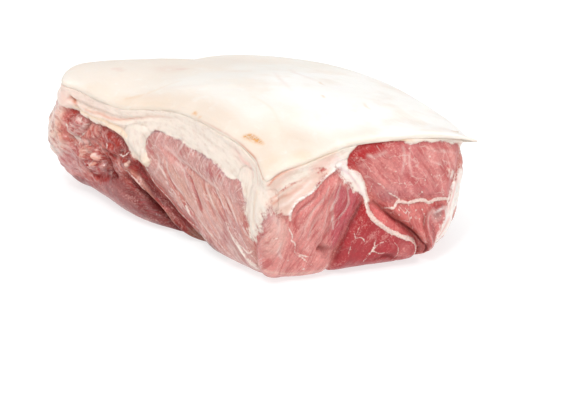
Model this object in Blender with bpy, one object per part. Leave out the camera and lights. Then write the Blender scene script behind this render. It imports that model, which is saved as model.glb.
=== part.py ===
"""Boneless pork shoulder joint, raw, lying with its rind side up.

One piece of meat is one solid. It is lofted from a plan outline of named
stations: a rind with a thin edge, a wall that drops to the board, and a foot
that rolls under. Muscles are pillows on the wall, with furrows between them
and ridges of fat and seam along named lines. The underside is flat where it
rests and furrowed where muscles meet.

Lengths are millimetres until the mesh is made. +Z is up, +X runs along the
joint from its thin end to its cut face, and the origin is under the middle.

Places on the wall are (along, down): millimetres round the rind's lower edge
from the near corner of the cut face, positive over the cut face and the back
and negative over the long side and the thin end, and millimetres down the
wall from the rind.
"""

from typing import NamedTuple

import bmesh
import bpy
import numpy as np

MM = 0.001
NAME = "pork_shoulder"
TRIANGLES = 9500  # what the fine loft is reduced to

# The rind: its thickness, how far its edge rounds out, and how much it crowns.
RIND_THICKNESS = 3.2
RIND_EDGE_OUT = 0.9
RIND_EDGE_INSET = 1.8
RIND_DOME = 10.5
DOME_POWER = 0.5

# How finely the loft is divided: along each side of the plan, and down the wall.
SIDE_COLUMNS = (140, 88, 140, 88)
WALL_ROWS = 56
SPLINE_STEPS = 16

CORNER_BLEND = 14  # mm each way over which the outward direction turns at a corner
RELIEF_START = 3.0  # mm below the rind over which the relief grows from nothing
FOOT_REACH = 26.0  # mm that furrows of the wall run on under the joint

# Stations of the rind's lower edge, anticlockwise from above. Each holds its
# plan place x, y and height z, the plan place where the wall below it meets the
# board (foot x, foot y), how far the wall bulges on the way (bulge), the radius
# of the foot (foot), and how far the rind stands out over the meat (lip).
#     x       y     z   foot x  foot y  bulge  foot  lip
STATIONS = (
    (-124.0, -70.5, 77.0, -113.0, -42.0, 9.0, 26.0, 1.0),
    (-108.0, -69.0, 76.5, -103.0, -42.0, 7.0, 24.0, 1.5),
    (-82.0, -70.0, 76.0, -82.0, -48.0, 4.0, 19.0, 1.5),
    (-59.0, -68.5, 76.0, -60.0, -54.0, 3.0, 16.0, 1.0),
    (-36.0, -63.5, 80.5, -37.0, -55.5, 3.0, 13.0, 1.0),
    (-16.0, -61.5, 84.0, -16.0, -51.5, 4.0, 13.0, 1.0),
    (9.0, -63.0, 86.0, 9.0, -50.0, 5.0, 13.0, 1.0),
    (38.0, -67.0, 86.0, 38.0, -53.0, 5.0, 13.0, 1.0),
    (62.0, -67.5, 83.0, 60.0, -54.0, 5.0, 14.0, 1.0),
    (78.0, -68.5, 77.0, 73.0, -54.5, 5.0, 15.0, 1.0),
    (96.0, -74.5, 71.0, 82.0, -56.0, 4.0, 17.0, 1.0),
    (96.0, -63.0, 74.0, 85.0, -51.0, 3.0, 14.0, 1.5),
    (102.0, -50.0, 78.0, 90.0, -42.0, 3.0, 13.0, 1.5),
    (108.0, -18.0, 84.0, 96.0, -14.0, 3.0, 14.0, 1.5),
    (118.5, 1.0, 86.0, 103.0, 6.0, 2.0, 15.0, 1.5),
    (131.0, 24.0, 86.0, 108.0, 22.5, 3.0, 17.0, 2.5),
    (142.0, 43.0, 84.0, 105.5, 34.0, 2.0, 23.0, 7.0),
    (146.0, 53.0, 81.0, 102.5, 38.5, 1.0, 26.0, 11.0),
    (128.0, 66.0, 74.0, 96.5, 42.5, 0.5, 25.0, 9.5),
    (104.0, 78.0, 71.0, 85.0, 49.0, 2.0, 25.0, 5.0),
    (60.0, 93.0, 70.0, 50.0, 61.0, 5.0, 26.0, 3.0),
    (10.0, 104.0, 70.0, 8.0, 69.0, 8.0, 28.0, 2.0),
    (-42.0, 100.0, 71.0, -34.0, 67.0, 8.0, 28.0, 2.0),
    (-90.0, 83.0, 70.0, -73.0, 53.0, 8.0, 28.0, 2.0),
    (-124.0, 58.0, 67.5, -97.0, 34.0, 8.0, 28.0, 2.0),
    (-143.0, 24.0, 62.0, -108.0, 11.0, 8.0, 28.0, 2.0),
    (-150.0, -10.0, 69.0, -112.0, -12.0, 9.0, 28.0, 2.0),
    (-147.0, -44.0, 76.0, -115.0, -31.0, 9.0, 28.0, 1.5),
)
CORNERS = (0, 10, 17, 24)  # the stations where one side of the plan meets the next
NEAR_CORNER = 1  # which corner the places on the wall are measured from
FAR_CORNER = 3  # which corner they run out at


class Muscle(NamedTuple):
    """A swelling inside a closed outline, as high as swell, rounded over within edge."""

    outline: tuple
    swell: float
    edge: float


class Crease(NamedTuple):
    """A furrow (heights below 0) or a ridge (above 0) along a line, from its start to its end."""

    line: tuple
    heights: tuple
    width: float


MUSCLES = {
    # the long side, from the thin end to the near corner
    "neck_lump_left": Muscle(((-210, 19), (-190, 14), (-187, 23), (-197, 28), (-208, 25)), 2.4, 4),
    "neck_lump_middle": Muscle(((-187, 17), (-176, 15), (-172, 25), (-184, 29)), 2.0, 4),
    "neck_lump_right": Muscle(((-175, 15), (-156, 18), (-150, 26), (-157, 31), (-171, 27)), 3.0, 5),
    "neck_lump_low": Muscle(((-199, 36), (-184, 31), (-168, 33), (-171, 44), (-191, 49)), 2.6, 5),
    "neck_lump_inner": Muscle(((-158, 31), (-149, 26), (-139, 36), (-147, 41), (-157, 37)), 2.0, 4),
    "neck_membrane": Muscle(
        (
            (-222, 66), (-202, 63), (-187, 60), (-177, 53), (-168, 48), (-157, 48), (-148, 54),
            (-138, 60), (-128, 66), (-118, 75), (-108, 84), (-102, 104), (-170, 120), (-240, 105),
        ),
        2.6,
        9,
    ),
    "inner_strip": Muscle(
        (
            (-149, 31), (-142, 37), (-139, 45), (-131, 52), (-122, 57), (-113, 64), (-104, 70),
            (-94, 78), (-84, 90), (-90, 98), (-101, 82), (-109, 74), (-117, 67), (-125, 62),
            (-134, 56), (-143, 50), (-152, 42), (-155, 35),
        ),
        3.2,
        3.5,
    ),
    "blade_muscle": Muscle(
        (
            (-134, 20), (-129, 15), (-116, 14), (-101, 15), (-86, 17), (-72, 19), (-56, 18),
            (-41, 20), (-28, 18), (-22, 23), (-20, 34), (-14, 42), (-10, 56), (-10, 75),
            (-14, 104), (-60, 104), (-70, 84), (-82, 71), (-95, 66), (-108, 58), (-117, 52),
            (-125, 47), (-132, 41), (-137, 33),
        ),
        3.6,
        9,
    ),
    "fat_tongue": Muscle(
        (
            (-150, 12), (-151, 20), (-144, 29), (-135, 36), (-128, 37), (-125, 33),
            (-132, 27), (-135, 21), (-132, 14), (-140, 9),
        ),
        2.2,
        4,
    ),
    "corner_fat": Muscle(
        ((-18, 12), (-3, 8), (2, 14), (-1, 27), (-5, 37), (-11, 46), (-15, 41), (-19, 33), (-20, 22)),
        1.2,
        4,
    ),
    # the cut face, from the near corner to the far one
    "fillet_muscle": Muscle(
        (
            (0, 17), (14, 31), (21, 24), (33, 17), (45, 14), (53, 17), (60, 28), (66, 34),
            (60, 46), (52, 54), (47, 64), (44, 78), (40, 100), (-8, 100), (-9, 62), (-7, 48),
            (-2, 34),
        ),
        2.8,
        8,
    ),
    "cap_muscle": Muscle(
        (
            (59, 7), (68, 2), (90, 1), (112, 1), (134, 3), (132, 18), (128, 30), (127, 40),
            (111, 40), (100, 40), (89, 39), (82, 41), (75, 35), (69, 24), (63, 13),
        ),
        2.6,
        8,
    ),
    "wedge_muscle": Muscle(
        (
            (68, 37), (74, 42), (83, 48), (94, 58), (104, 67), (111, 77), (110, 92), (90, 100),
            (60, 100), (46, 92), (46, 76), (49, 62), (54, 53), (61, 45),
        ),
        5.0,
        7,
    ),
    "rear_muscle": Muscle(
        (
            (74, 38), (90, 42), (111, 43), (126, 44), (132, 54), (127, 68), (122, 96),
            (114, 96), (112, 76), (105, 66), (92, 54), (82, 45),
        ),
        2.4,
        5,
    ),
    "rear_flap": Muscle(
        ((125, 44), (117, 47), (111, 53), (110, 62), (113, 70), (119, 79), (126, 66), (130, 53)),
        2.2,
        2.5,
    ),
    # the back, from the far corner of the cut face to the thin end
    "back_cap": Muscle(
        ((142, 8), (168, 13), (196, 15), (214, 24), (206, 44), (180, 58), (158, 62), (143, 45)), 3.0, 9
    ),
    "back_low": Muscle(
        ((146, 64), (162, 66), (184, 61), (208, 48), (224, 60), (226, 100), (150, 100)), 3.0, 9
    ),
    "back_middle": Muscle(
        (
            (218, 22), (246, 17), (280, 18), (306, 26), (298, 44), (276, 60), (252, 74),
            (232, 76), (226, 58), (212, 44),
        ),
        4.0,
        10,
    ),
    "back_belly": Muscle(
        ((232, 80), (256, 76), (282, 60), (306, 46), (330, 52), (340, 78), (338, 100), (232, 100)),
        3.4,
        9,
    ),
    "back_blade": Muscle(
        ((312, 25), (340, 18), (376, 18), (404, 26), (408, 44), (380, 56), (346, 60), (328, 49), (304, 42)),
        3.6,
        9,
    ),
    "back_end": Muscle(((346, 64), (380, 60), (410, 48), (440, 50), (440, 100), (344, 100)), 3.0, 9),
    # the thin end, measured on past the long side
    "end_cap": Muscle(((-362, 16), (-330, 15), (-302, 20), (-296, 38), (-322, 50), (-362, 46)), 3.4, 8),
    "end_round": Muscle(
        ((-298, 22), (-270, 16), (-240, 18), (-224, 28), (-226, 52), (-254, 62), (-284, 54), (-292, 38)),
        3.8,
        9,
    ),
    "end_low": Muscle(((-366, 50), (-322, 54), (-290, 58), (-256, 67), (-250, 100), (-366, 100)), 3.0, 9),
}

CREASES = {
    # the long side
    "rind_crack": Crease(((-214, 8), (-183, 8), (-164, 7), (-142, 6), (-113, 5), (-90, 4)), (-2, -1.4, 0), 1.4),
    "fat_fold_high": Crease(((-216, 11), (-188, 11), (-166, 11), (-150, 10)), (0, 0.9, 0.5), 1.8),
    "fat_fold_low": Crease(((-190, 13), (-172, 14), (-156, 17), (-148, 24)), (0.4, 1.2, 0.6), 1.8),
    "rind_notch": Crease(((-211, 7), (-205, 9)), (-2.2, -1.6, 0), 1.6),
    "neck_pocket": Crease(((-215, 15), (-204, 14), (-210, 21)), (-2, -3.5, -1), 4.0),
    "neck_hole": Crease(((-170, 37), (-160, 39), (-152, 45)), (-1, -4, -2), 2.6),
    "neck_rough_edge": Crease(((-200, 56), (-182, 52), (-168, 45)), (0, -1.6, -1.5), 2.4),
    "deep_cleft": Crease(
        ((-152, 46), (-143, 52), (-135, 57), (-127, 63), (-119, 69), (-110, 77), (-102, 86), (-98, 104)),
        (-3, -9, -8),
        3.6,
    ),
    "inner_cleft": Crease(
        ((-141, 36), (-135, 45), (-126, 52), (-116, 59), (-107, 65), (-97, 71), (-84, 80), (-72, 100)),
        (-2.5, -4, -3),
        2.5,
    ),
    "blade_fold_long": Crease(((-117, 23), (-100, 27), (-85, 30), (-68, 33), (-42, 32)), (0, -1.1, 0), 2.2),
    "blade_fold_low": Crease(((-110, 34), (-104, 41), (-94, 48), (-82, 58), (-68, 66), (-56, 74)), (0, -1.2, 0), 2.0),
    "blade_fold_high": Crease(((-84, 35), (-74, 42), (-67, 49), (-56, 58), (-44, 66)), (0, -0.9, 0), 2.0),
    "blade_foot": Crease(((-90, 82), (-76, 82), (-60, 82)), (0, -2.2, 0), 4.0),
    # the cut face
    "fillet_seam_high": Crease(((1, 17), (7, 13), (20, 10), (34, 6)), (0.5, 0.8, 0), 2.2),
    "fillet_seam_low": Crease(((15, 32), (18, 26), (22, 22), (33, 16), (45, 13), (52, 10)), (0.6, 1.2, 0.8), 2.2),
    "fillet_split_left": Crease(((44, 19), (31, 24), (21, 31), (18, 41)), (0, -1.0, 0), 1.8),
    "fillet_split_middle": Crease(((52, 21), (43, 30), (41, 43), (33, 53)), (-0.6, -1.5, -0.4), 1.8),
    "fillet_split_right": Crease(((58, 26), (56, 32), (55, 43), (50, 54)), (-0.4, -1.2, -0.6), 1.8),
    "fillet_hole": Crease(((34, 56), (41, 58), (50, 59)), (-3.5, -2.5, -1.5), 1.9),
    "wedge_gap": Crease(
        ((66, 37), (61, 45), (53, 54), (48, 62), (45, 74), (43, 88), (42, 100)), (-2, -5, -5), 3.0
    ),
    "wedge_seam": Crease(
        ((69, 39), (71, 46), (79, 52), (88, 59), (96, 65), (102, 71), (104, 78)), (1.0, 1.8, 1.2), 2.4
    ),
    "wedge_cleft": Crease(
        ((71, 36), (81, 43), (93, 55), (104, 66), (111, 77), (116, 90), (118, 100)), (-1, -6, -6), 2.8
    ),
    "fat_fork": Crease(((55, 9), (59, 16), (63, 24), (68, 35)), (0.8, 1.6, 0.8), 3.6),
    "cap_seam": Crease(((83, 42), (91, 41), (101, 42), (111, 42), (126, 43)), (0.4, 1.0, 0.6), 2.0),
    "cap_vein": Crease(((66, 11), (71, 21), (80, 29), (89, 39)), (0, 0.5, 0), 1.4),
    "edge_membrane": Crease(((135, 8), (130, 20), (130, 42), (128, 56), (122, 72)), (0.8, 1.2, 1.0), 3.0),
    # the back and the thin end
    "back_fat_high": Crease(((160, 7), (210, 9), (260, 8), (310, 10), (360, 8), (420, 9)), (0.5, 1.6, 0.8), 3.4),
    "back_fat_low": Crease(((150, 11), (198, 17), (240, 13), (290, 17), (322, 20), (360, 14)), (0, 1.3, 0), 2.6),
    "back_cleft": Crease(((206, 20), (210, 46), (226, 62), (230, 84), (232, 100)), (-1, -6, -5), 3.6),
    "back_gap": Crease(((300, 22), (304, 44), (324, 52), (342, 66), (342, 100)), (-1, -5, -4), 3.4),
    "end_gap": Crease(((-294, 20), (-294, 40), (-286, 56), (-262, 66), (-240, 80), (-232, 100)), (-1, -5, -4), 3.6),
    "end_fat": Crease(((-360, 9), (-320, 8), (-280, 10), (-232, 8)), (0.6, 1.5, 0.6), 3.2),
}

# Under the joint, as plan lines in x and y, where its muscles meet.
UNDER_CREASES = {
    "under_long": Crease(((-70, -50), (-40, -20), (-4, 4), (40, 14), (84, 10), (112, 22)), (1, 6, 3), 7.5),
    "under_end": Crease(((-132, -6), (-100, 8), (-66, 12), (-34, 34), (-10, 62), (-4, 88)), (3, 5, 1), 7.5),
    "under_cut": Crease(((66, -54), (58, -24), (44, 8), (52, 46), (74, 78)), (3, 4, 1), 6),
    "under_small": Crease(((-100, 10), (-84, 40), (-80, 66)), (3, 3, 1), 6),
}

# On the rind, as plan lines in x and y: a shallow valley and the soft folds beside it.
RIND_CREASES = {
    "valley": Crease(((-60, -66), (-48, -20), (-18, 40), (20, 84)), (-1.4, -1.6, -0.4), 18.0),
    "fold": Crease(((-44, -56), (-10, -36), (24, -6)), (0.3, 0.7, 0), 6.0),
    "hump": Crease(((-118, -40), (-112, 0), (-96, 44)), (0.4, 1.0, 0.4), 16.0),
}


def spline(points, closed):
    """A centripetal Catmull-Rom curve through rows of numbers, whose first three (or two) are places."""
    points = np.asarray(points, float)
    if closed:
        ring = np.vstack([points[-1:], points, points[:2]])
    else:
        ring = np.vstack([2 * points[:1] - points[1:2], points, 2 * points[-1:] - points[-2:-1]])
    rows = []
    for four in zip(ring, ring[1:], ring[2:], ring[3:]):
        gaps = [np.linalg.norm((b - a)[:3]) ** 0.5 for a, b in zip(four, four[1:])]
        knots = np.concatenate([[0], np.cumsum(gaps)])
        t = np.linspace(knots[1], knots[2], SPLINE_STEPS, endpoint=False)[:, None]
        level = list(four)
        for reach, starts in ((1, (0, 1, 2)), (2, (0, 1)), (1, (1,))):
            level = [
                ((knots[k + reach] - t) * level[i] + (t - knots[k]) * level[i + 1])
                / (knots[k + reach] - knots[k])
                for i, k in enumerate(starts)
            ]
        rows.append(level[0])
    if not closed:
        rows.append(points[-1:])
    return np.concatenate(rows)


def distance_to(line, across, down):
    """Each place's distance from a line of points, and the share of the line passed at the nearest."""
    nearest = np.full(across.shape, np.inf)
    passed = np.zeros(across.shape)
    for k, (start, end) in enumerate(zip(line, line[1:])):
        step = end - start
        t = np.clip(((across - start[0]) * step[0] + (down - start[1]) * step[1]) / (step @ step), 0, 1)
        gap = np.hypot(across - start[0] - t * step[0], down - start[1] - t * step[1])
        passed = np.where(gap < nearest, (k + t) / (len(line) - 1), passed)
        nearest = np.minimum(gap, nearest)
    return nearest, passed


def is_inside(outline, across, down):
    """Whether each place is inside a closed outline."""
    inside = np.zeros(across.shape, bool)
    for (x0, y0), (x1, y1) in zip(outline, np.roll(outline, -1, axis=0)):
        if y0 != y1:
            crosses = (y0 > down) != (y1 > down)
            inside ^= crosses & (across < x0 + (down - y0) * (x1 - x0) / (y1 - y0))
    return inside


def swelling(muscle, across, down):
    """How far a muscle stands out at each place."""
    outline = spline(muscle.outline, closed=True)
    away, _ = distance_to(np.vstack([outline, outline[:1]]), across, down)
    depth = np.clip(np.where(is_inside(outline, across, down), away, 0) / muscle.edge, 0, 1)
    return muscle.swell * (1 - (1 - depth) ** 2)


def folding(crease, across, down):
    """How far a crease raises each place, or lowers it."""
    away, passed = distance_to(spline(crease.line, closed=False), across, down)
    height = np.interp(passed, (0, 0.5, 1), crease.heights)
    return height * np.exp(-((away / crease.width) ** 2))


def wall_relief(along, down):
    """How far the wall stands out from its plain sweep at each place."""
    relief = sum(swelling(muscle, along, down) for muscle in MUSCLES.values())
    relief = relief + sum(folding(crease, along, down) for crease in CREASES.values())
    return relief * np.clip(down / RELIEF_START, 0, 1)


def plan_relief(creases, x, y):
    """How far a set of plan creases raises each place of the plan."""
    return sum(folding(crease, x, y) for crease in creases.values())


def outward_of(loop, length, places):
    """Outward plan directions of the loop at some places round it, turned softly at corners."""
    closed = np.vstack([loop, loop[:1]])[:, :2]
    steps = np.diff(closed, axis=0)
    sizes = np.linalg.norm(steps, axis=1)
    middles = np.cumsum(sizes) - sizes / 2
    sideways = np.stack([steps[:, 1], -steps[:, 0]], axis=1) / sizes[:, None]
    even_places = np.arange(int(length)) * length / int(length)
    weights = np.hanning(2 * CORNER_BLEND + 1)
    weights = weights / weights.sum()
    turned = []
    for axis in (0, 1):
        even = np.interp(even_places, middles, sideways[:, axis], period=length)
        wrapped = np.concatenate([even[-CORNER_BLEND:], even, even[:CORNER_BLEND]])
        soft = np.convolve(wrapped, weights, "valid")
        turned.append(np.interp(places, even_places, soft, period=length))
    directions = np.stack(turned, axis=1)
    return directions / np.linalg.norm(directions, axis=1)[:, None]


class Plan:
    """The plan outline cut into columns: where each stands, which way it faces and its wall."""

    def __init__(self, side_columns):
        """Spread side_columns, a count for each of the four sides, evenly along the outline."""
        self.side_columns = side_columns
        loop = spline(STATIONS, closed=True)
        closed = np.vstack([loop, loop[:1]])
        steps = np.linalg.norm(np.diff(closed[:, :2], axis=0), axis=1)
        passed = np.concatenate([[0], np.cumsum(steps)])
        length = passed[-1]
        corners = [passed[c * SPLINE_STEPS] for c in CORNERS] + [length]
        places = np.concatenate(
            [
                np.linspace(start, end, count, endpoint=False)
                for start, end, count in zip(corners, corners[1:], side_columns)
            ]
        )
        values = [np.interp(places, passed, closed[:, k]) for k in range(closed.shape[1])]
        self.x, self.y, self.z, foot_x, foot_y, self.bulge, self.foot, self.lip = values
        self.facing = outward_of(loop, length, places)
        tucked = np.stack([foot_x - self.x, foot_y - self.y], axis=1)
        self.tuck = np.linalg.norm(tucked, axis=1)
        self.tucked = tucked / self.tuck[:, None]
        past_far_corner = places >= corners[FAR_CORNER] - 0.001
        self.along = places - corners[NEAR_CORNER] - np.where(past_far_corner, length, 0)

    def wall_length(self):
        """Length down each column, from the rind to where its foot meets the board."""
        return self.z - self.foot + np.pi / 2 * self.foot

    def wall(self, shares):
        """Points of the wall at each share of its length, as columns by rows by xyz."""
        x, y, z = (value[:, None] for value in (self.x, self.y, self.z))
        foot = self.foot[:, None]
        down = self.wall_length()[:, None] * shares
        turn = np.clip((down - (z - foot)) / foot, 0, np.pi / 2)
        height = np.where(turn > 0, foot * (1 - np.sin(turn)), z - down)
        share = 1 - height / z
        lean = (self.tuck - self.lip - self.foot)[:, None]
        inwards = self.lip[:, None] + lean * share + foot * (1 - np.cos(turn))
        relief = wall_relief(self.along[:, None] + 0 * down, down)
        out = self.bulge[:, None] * np.sin(np.pi * share) + relief * np.cos(turn)
        height = np.maximum(height - np.minimum(relief, 0) * np.sin(turn), 0)
        plan = [
            start + self.tucked[:, axis : axis + 1] * inwards + self.facing[:, axis : axis + 1] * out
            for axis, start in enumerate((x, y))
        ]
        return np.stack([*plan, height], axis=-1)

    def rind_ring(self, out, up):
        """A ring round the rind, moved out and up from its lower edge."""
        return np.stack(
            [self.x + self.facing[:, 0] * out, self.y + self.facing[:, 1] * out, self.z + up], axis=-1
        )


def patch(ring, side_columns):
    """A Coons patch over a ring of points, as lines across by lines back by xyz."""
    side, end = side_columns[0], side_columns[1]
    near = ring[: side + 1]
    right = ring[side : side + end + 1]
    far = ring[side + end : 2 * side + end + 1][::-1]
    left = np.vstack([ring[2 * side + end :], ring[:1]])[::-1]
    u = np.linspace(0, 1, side + 1)[:, None, None]
    v = np.linspace(0, 1, end + 1)[None, :, None]
    ruled = (1 - v) * near[:, None] + v * far[:, None] + (1 - u) * left[None] + u * right[None]
    corners = (1 - u) * ((1 - v) * near[0] + v * far[0]) + u * ((1 - v) * near[-1] + v * far[-1])
    return ruled - corners


def rind_top(plan, ring):
    """The crowned top of the rind inside its edge ring."""
    grid = patch(ring, plan.side_columns)
    u = np.linspace(0, 1, grid.shape[0])[:, None]
    v = np.linspace(0, 1, grid.shape[1])[None, :]
    crown = (4 * u * (1 - u)) ** DOME_POWER * (4 * v * (1 - v)) ** DOME_POWER
    folds = plan_relief(RIND_CREASES, grid[..., 0], grid[..., 1])
    grid[..., 2] += RIND_DOME * crown + folds * crown
    return grid


def underside(plan, ring):
    """The flat base inside the foot ring, with the wall's furrows running on under it."""
    grid = patch(ring, plan.side_columns)
    x, y = grid[..., 0], grid[..., 1]
    raised = plan_relief(UNDER_CREASES, x, y)
    for edge in (grid[:, :1], grid[:, -1:], grid[:1, :], grid[-1:, :]):
        away = np.hypot(x - edge[..., 0], y - edge[..., 1])
        raised = np.maximum(raised, edge[..., 2] * np.clip(1 - away / FOOT_REACH, 0, 1) ** 2)
    inner = (slice(1, -1), slice(1, -1))
    grid[..., 2][inner] = raised[inner]
    return grid


def fine_loft():
    """The whole surface as vertices and faces, in millimetres."""
    plan = Plan(SIDE_COLUMNS)
    wall = plan.wall(np.linspace(0, 1, WALL_ROWS + 1))
    rings = [
        plan.rind_ring(-RIND_EDGE_INSET, RIND_THICKNESS),
        plan.rind_ring(RIND_EDGE_OUT * 0.5, RIND_THICKNESS * 0.85),
        plan.rind_ring(RIND_EDGE_OUT, RIND_THICKNESS * 0.45),
        plan.rind_ring(0, 0),
    ]
    rings += [wall[:, row] for row in range(WALL_ROWS + 1)]
    count = len(plan.x)
    faces = []
    for row in range(len(rings) - 1):
        for column in range(count):
            beside = (column + 1) % count
            high, low = row * count, (row + 1) * count
            faces.append((high + column, low + column, low + beside, high + beside))
    vertices = [np.concatenate(rings)]
    made = len(rings) * count
    side, end = SIDE_COLUMNS[0], SIDE_COLUMNS[1]
    for grid, ring_start, faces_up in (
        (rind_top(plan, rings[0]), 0, True),
        (underside(plan, rings[-1]), (len(rings) - 1) * count, False),
    ):
        number = np.zeros(grid.shape[:2], int)
        number[:, 0] = ring_start + np.arange(side + 1)
        number[-1, :] = ring_start + side + np.arange(end + 1)
        number[::-1, -1] = ring_start + side + end + np.arange(side + 1)
        number[0, ::-1] = ring_start + (2 * side + end + np.arange(end + 1)) % count
        inner = grid[1:-1, 1:-1].reshape(-1, 3)
        number[1:-1, 1:-1] = made + np.arange(len(inner)).reshape(side - 1, end - 1)
        vertices.append(inner)
        made += len(inner)
        for i in range(side):
            for j in range(end):
                face = (number[i, j], number[i + 1, j], number[i + 1, j + 1], number[i, j + 1])
                faces.append(face if faces_up else face[::-1])
    return np.concatenate(vertices), faces


def raw_meat():
    """The finish of the whole joint, between its cream rind and its rose meat."""
    material = bpy.data.materials.new("raw_pork")
    material.use_nodes = True
    shader = material.node_tree.nodes["Principled BSDF"]
    shader.inputs["Base Color"].default_value = (0.68, 0.36, 0.31, 1)
    shader.inputs["Roughness"].default_value = 0.4
    shader.inputs["Metallic"].default_value = 0
    return material


def pork_shoulder():
    """The joint as one object, with its origin under the middle of its box."""
    vertices, faces = fine_loft()
    low, high = vertices.min(axis=0), vertices.max(axis=0)
    vertices = (vertices - [(low[0] + high[0]) / 2, (low[1] + high[1]) / 2, low[2]]) * MM
    form = bmesh.new()
    made = [form.verts.new(vertex) for vertex in vertices]
    for face in faces:
        form.faces.new([made[corner] for corner in face])
    mesh = bpy.data.meshes.new(NAME)
    bmesh.ops.triangulate(form, faces=form.faces)
    form.to_mesh(mesh)
    form.free()
    mesh.shade_smooth()
    mesh.materials.append(raw_meat())
    joint = bpy.data.objects.new(NAME, mesh)
    bpy.context.scene.collection.objects.link(joint)
    reduce = joint.modifiers.new("reduce", "DECIMATE")
    reduce.decimate_type = "COLLAPSE"
    reduce.ratio = TRIANGLES / len(mesh.polygons)
    return joint


def main():
    """Empty the scene and model the joint."""
    for old in list(bpy.data.objects):
        bpy.data.objects.remove(old, do_unlink=True)
    pork_shoulder()


main()
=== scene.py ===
"""The looks of a raw boneless pork shoulder joint that lies with its rind side up.

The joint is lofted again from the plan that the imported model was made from, only
finer: a cream rind, and under it the meat with its fat, silver skin, seams and
marbling. Lengths are millimetres until a mesh is made.

Places on the meat's wall are (along, down): millimetres round the rind's lower
edge from the near corner of the cut face, positive over the cut face and the
back and negative over the long side and the thin end, and millimetres down the
wall from the rind. Places on the rind and under the joint are plan x and y. An
outline or a line is written as its few places, "along,down along,down ...", and
a curve is drawn through them.
"""

import itertools
import logging
import math
from collections.abc import Iterable
from dataclasses import astuple, dataclass, field
from enum import Enum

import bpy
import numpy as np
from mathutils import Matrix, Vector


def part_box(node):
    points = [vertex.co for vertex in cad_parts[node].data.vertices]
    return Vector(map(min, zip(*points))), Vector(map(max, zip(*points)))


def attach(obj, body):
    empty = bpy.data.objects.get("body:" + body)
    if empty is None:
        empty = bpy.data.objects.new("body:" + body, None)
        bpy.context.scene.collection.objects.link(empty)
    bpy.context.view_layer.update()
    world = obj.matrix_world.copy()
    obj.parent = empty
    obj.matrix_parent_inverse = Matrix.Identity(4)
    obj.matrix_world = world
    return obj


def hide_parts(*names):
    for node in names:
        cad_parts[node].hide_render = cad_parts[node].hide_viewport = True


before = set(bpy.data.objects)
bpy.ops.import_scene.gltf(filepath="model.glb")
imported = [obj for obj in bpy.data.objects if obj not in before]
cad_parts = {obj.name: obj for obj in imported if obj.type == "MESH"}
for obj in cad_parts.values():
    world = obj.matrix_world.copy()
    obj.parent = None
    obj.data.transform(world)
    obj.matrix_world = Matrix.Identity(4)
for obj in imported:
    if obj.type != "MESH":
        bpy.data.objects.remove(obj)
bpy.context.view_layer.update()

LOG = logging.getLogger("pork_shoulder")

MM = 0.001
NODE = "pork_shoulder"
BODY = "root"

Places = str
Colour = tuple[float, float, float]
Three = tuple[float, float, float]


# ---- colours

LIT = 0.86  # share of white that a surface has which the studio lights up to full white
GLOSS = 0.031  # how much white the gloss of wet flesh adds
DARKEST = 0.004  # the least that a part of a colour under the gloss may be


def linear(red: float, green: float, blue: float) -> Colour:
    """Turn the colour that a lit surface shows into the linear one that its shader needs.

    Args:
        red: Red as shown, 0 to 255.
        green: Green as shown, 0 to 255.
        blue: Blue as shown, 0 to 255.

    Returns:
        The three linear parts.
    """
    parts = [part / 255 for part in (red, green, blue)]
    return tuple(LIT * (p / 12.92 if p <= 0.04045 else ((p + 0.055) / 1.055) ** 2.4) for p in parts)


def wet(red: float, green: float, blue: float) -> Colour:
    """Turn the colour that lit wet flesh shows into the linear one beneath its gloss."""
    return tuple(max(part - GLOSS, DARKEST) for part in linear(red, green, blue))


class Flesh(Enum):
    """Colours of the meat, by what it is."""

    NECK = wet(210, 130, 118)
    NECK_GREY = wet(214, 150, 144)
    NECK_DARK = wet(188, 74, 66)
    NECK_PALE = wet(242, 198, 178)
    MEMBRANE = wet(164, 100, 98)
    STRIP = wet(168, 76, 66)
    SILVER = wet(216, 158, 146)
    FILLET = wet(224, 146, 140)
    LOBE = wet(198, 98, 104)
    WEDGE = wet(184, 74, 78)
    CAP = wet(216, 132, 130)
    CAP_PALE = wet(230, 152, 146)
    REAR = wet(218, 126, 121)
    FLAP = wet(212, 122, 120)
    BACK = wet(206, 112, 104)
    BACK_PALE = wet(218, 136, 126)
    UNDER = wet(200, 108, 102)


class Touch(Enum):
    """Colours of lines and patches on the meat and the fat."""

    WHITE = linear(252, 242, 236)
    THREAD = linear(242, 214, 204)
    LILAC = linear(212, 176, 182)
    MAUVE = linear(168, 124, 132)
    SALMON = linear(220, 158, 138)
    ROSE = linear(228, 140, 134)
    PINK_FAT = linear(238, 196, 182)
    RED = wet(180, 70, 68)
    CRIMSON = wet(186, 48, 58)
    MAROON = wet(122, 34, 34)
    BROWN = wet(140, 92, 76)
    OCHRE = linear(240, 178, 112)
    RUST = linear(208, 118, 84)
    CREAM = linear(246, 229, 213)
    WARM = linear(240, 222, 205)
    PLUM = wet(200, 142, 138)
    PINK = wet(222, 122, 120)
    BRIGHT = linear(266, 263, 259)
    STRAW = linear(240, 206, 168)


# ---- the plan


@dataclass(frozen=True)
class Station:
    """One station of the rind's lower edge, and of the wall below it.

    x, y and z are its place. foot_x and foot_y are where the wall meets the board.
    bulge is how far the wall swells on the way, foot is the radius of its foot, and
    lip is how far the rind stands out over the meat.
    """

    x: float
    y: float
    z: float
    foot_x: float
    foot_y: float
    bulge: float
    foot: float
    lip: float


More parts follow.
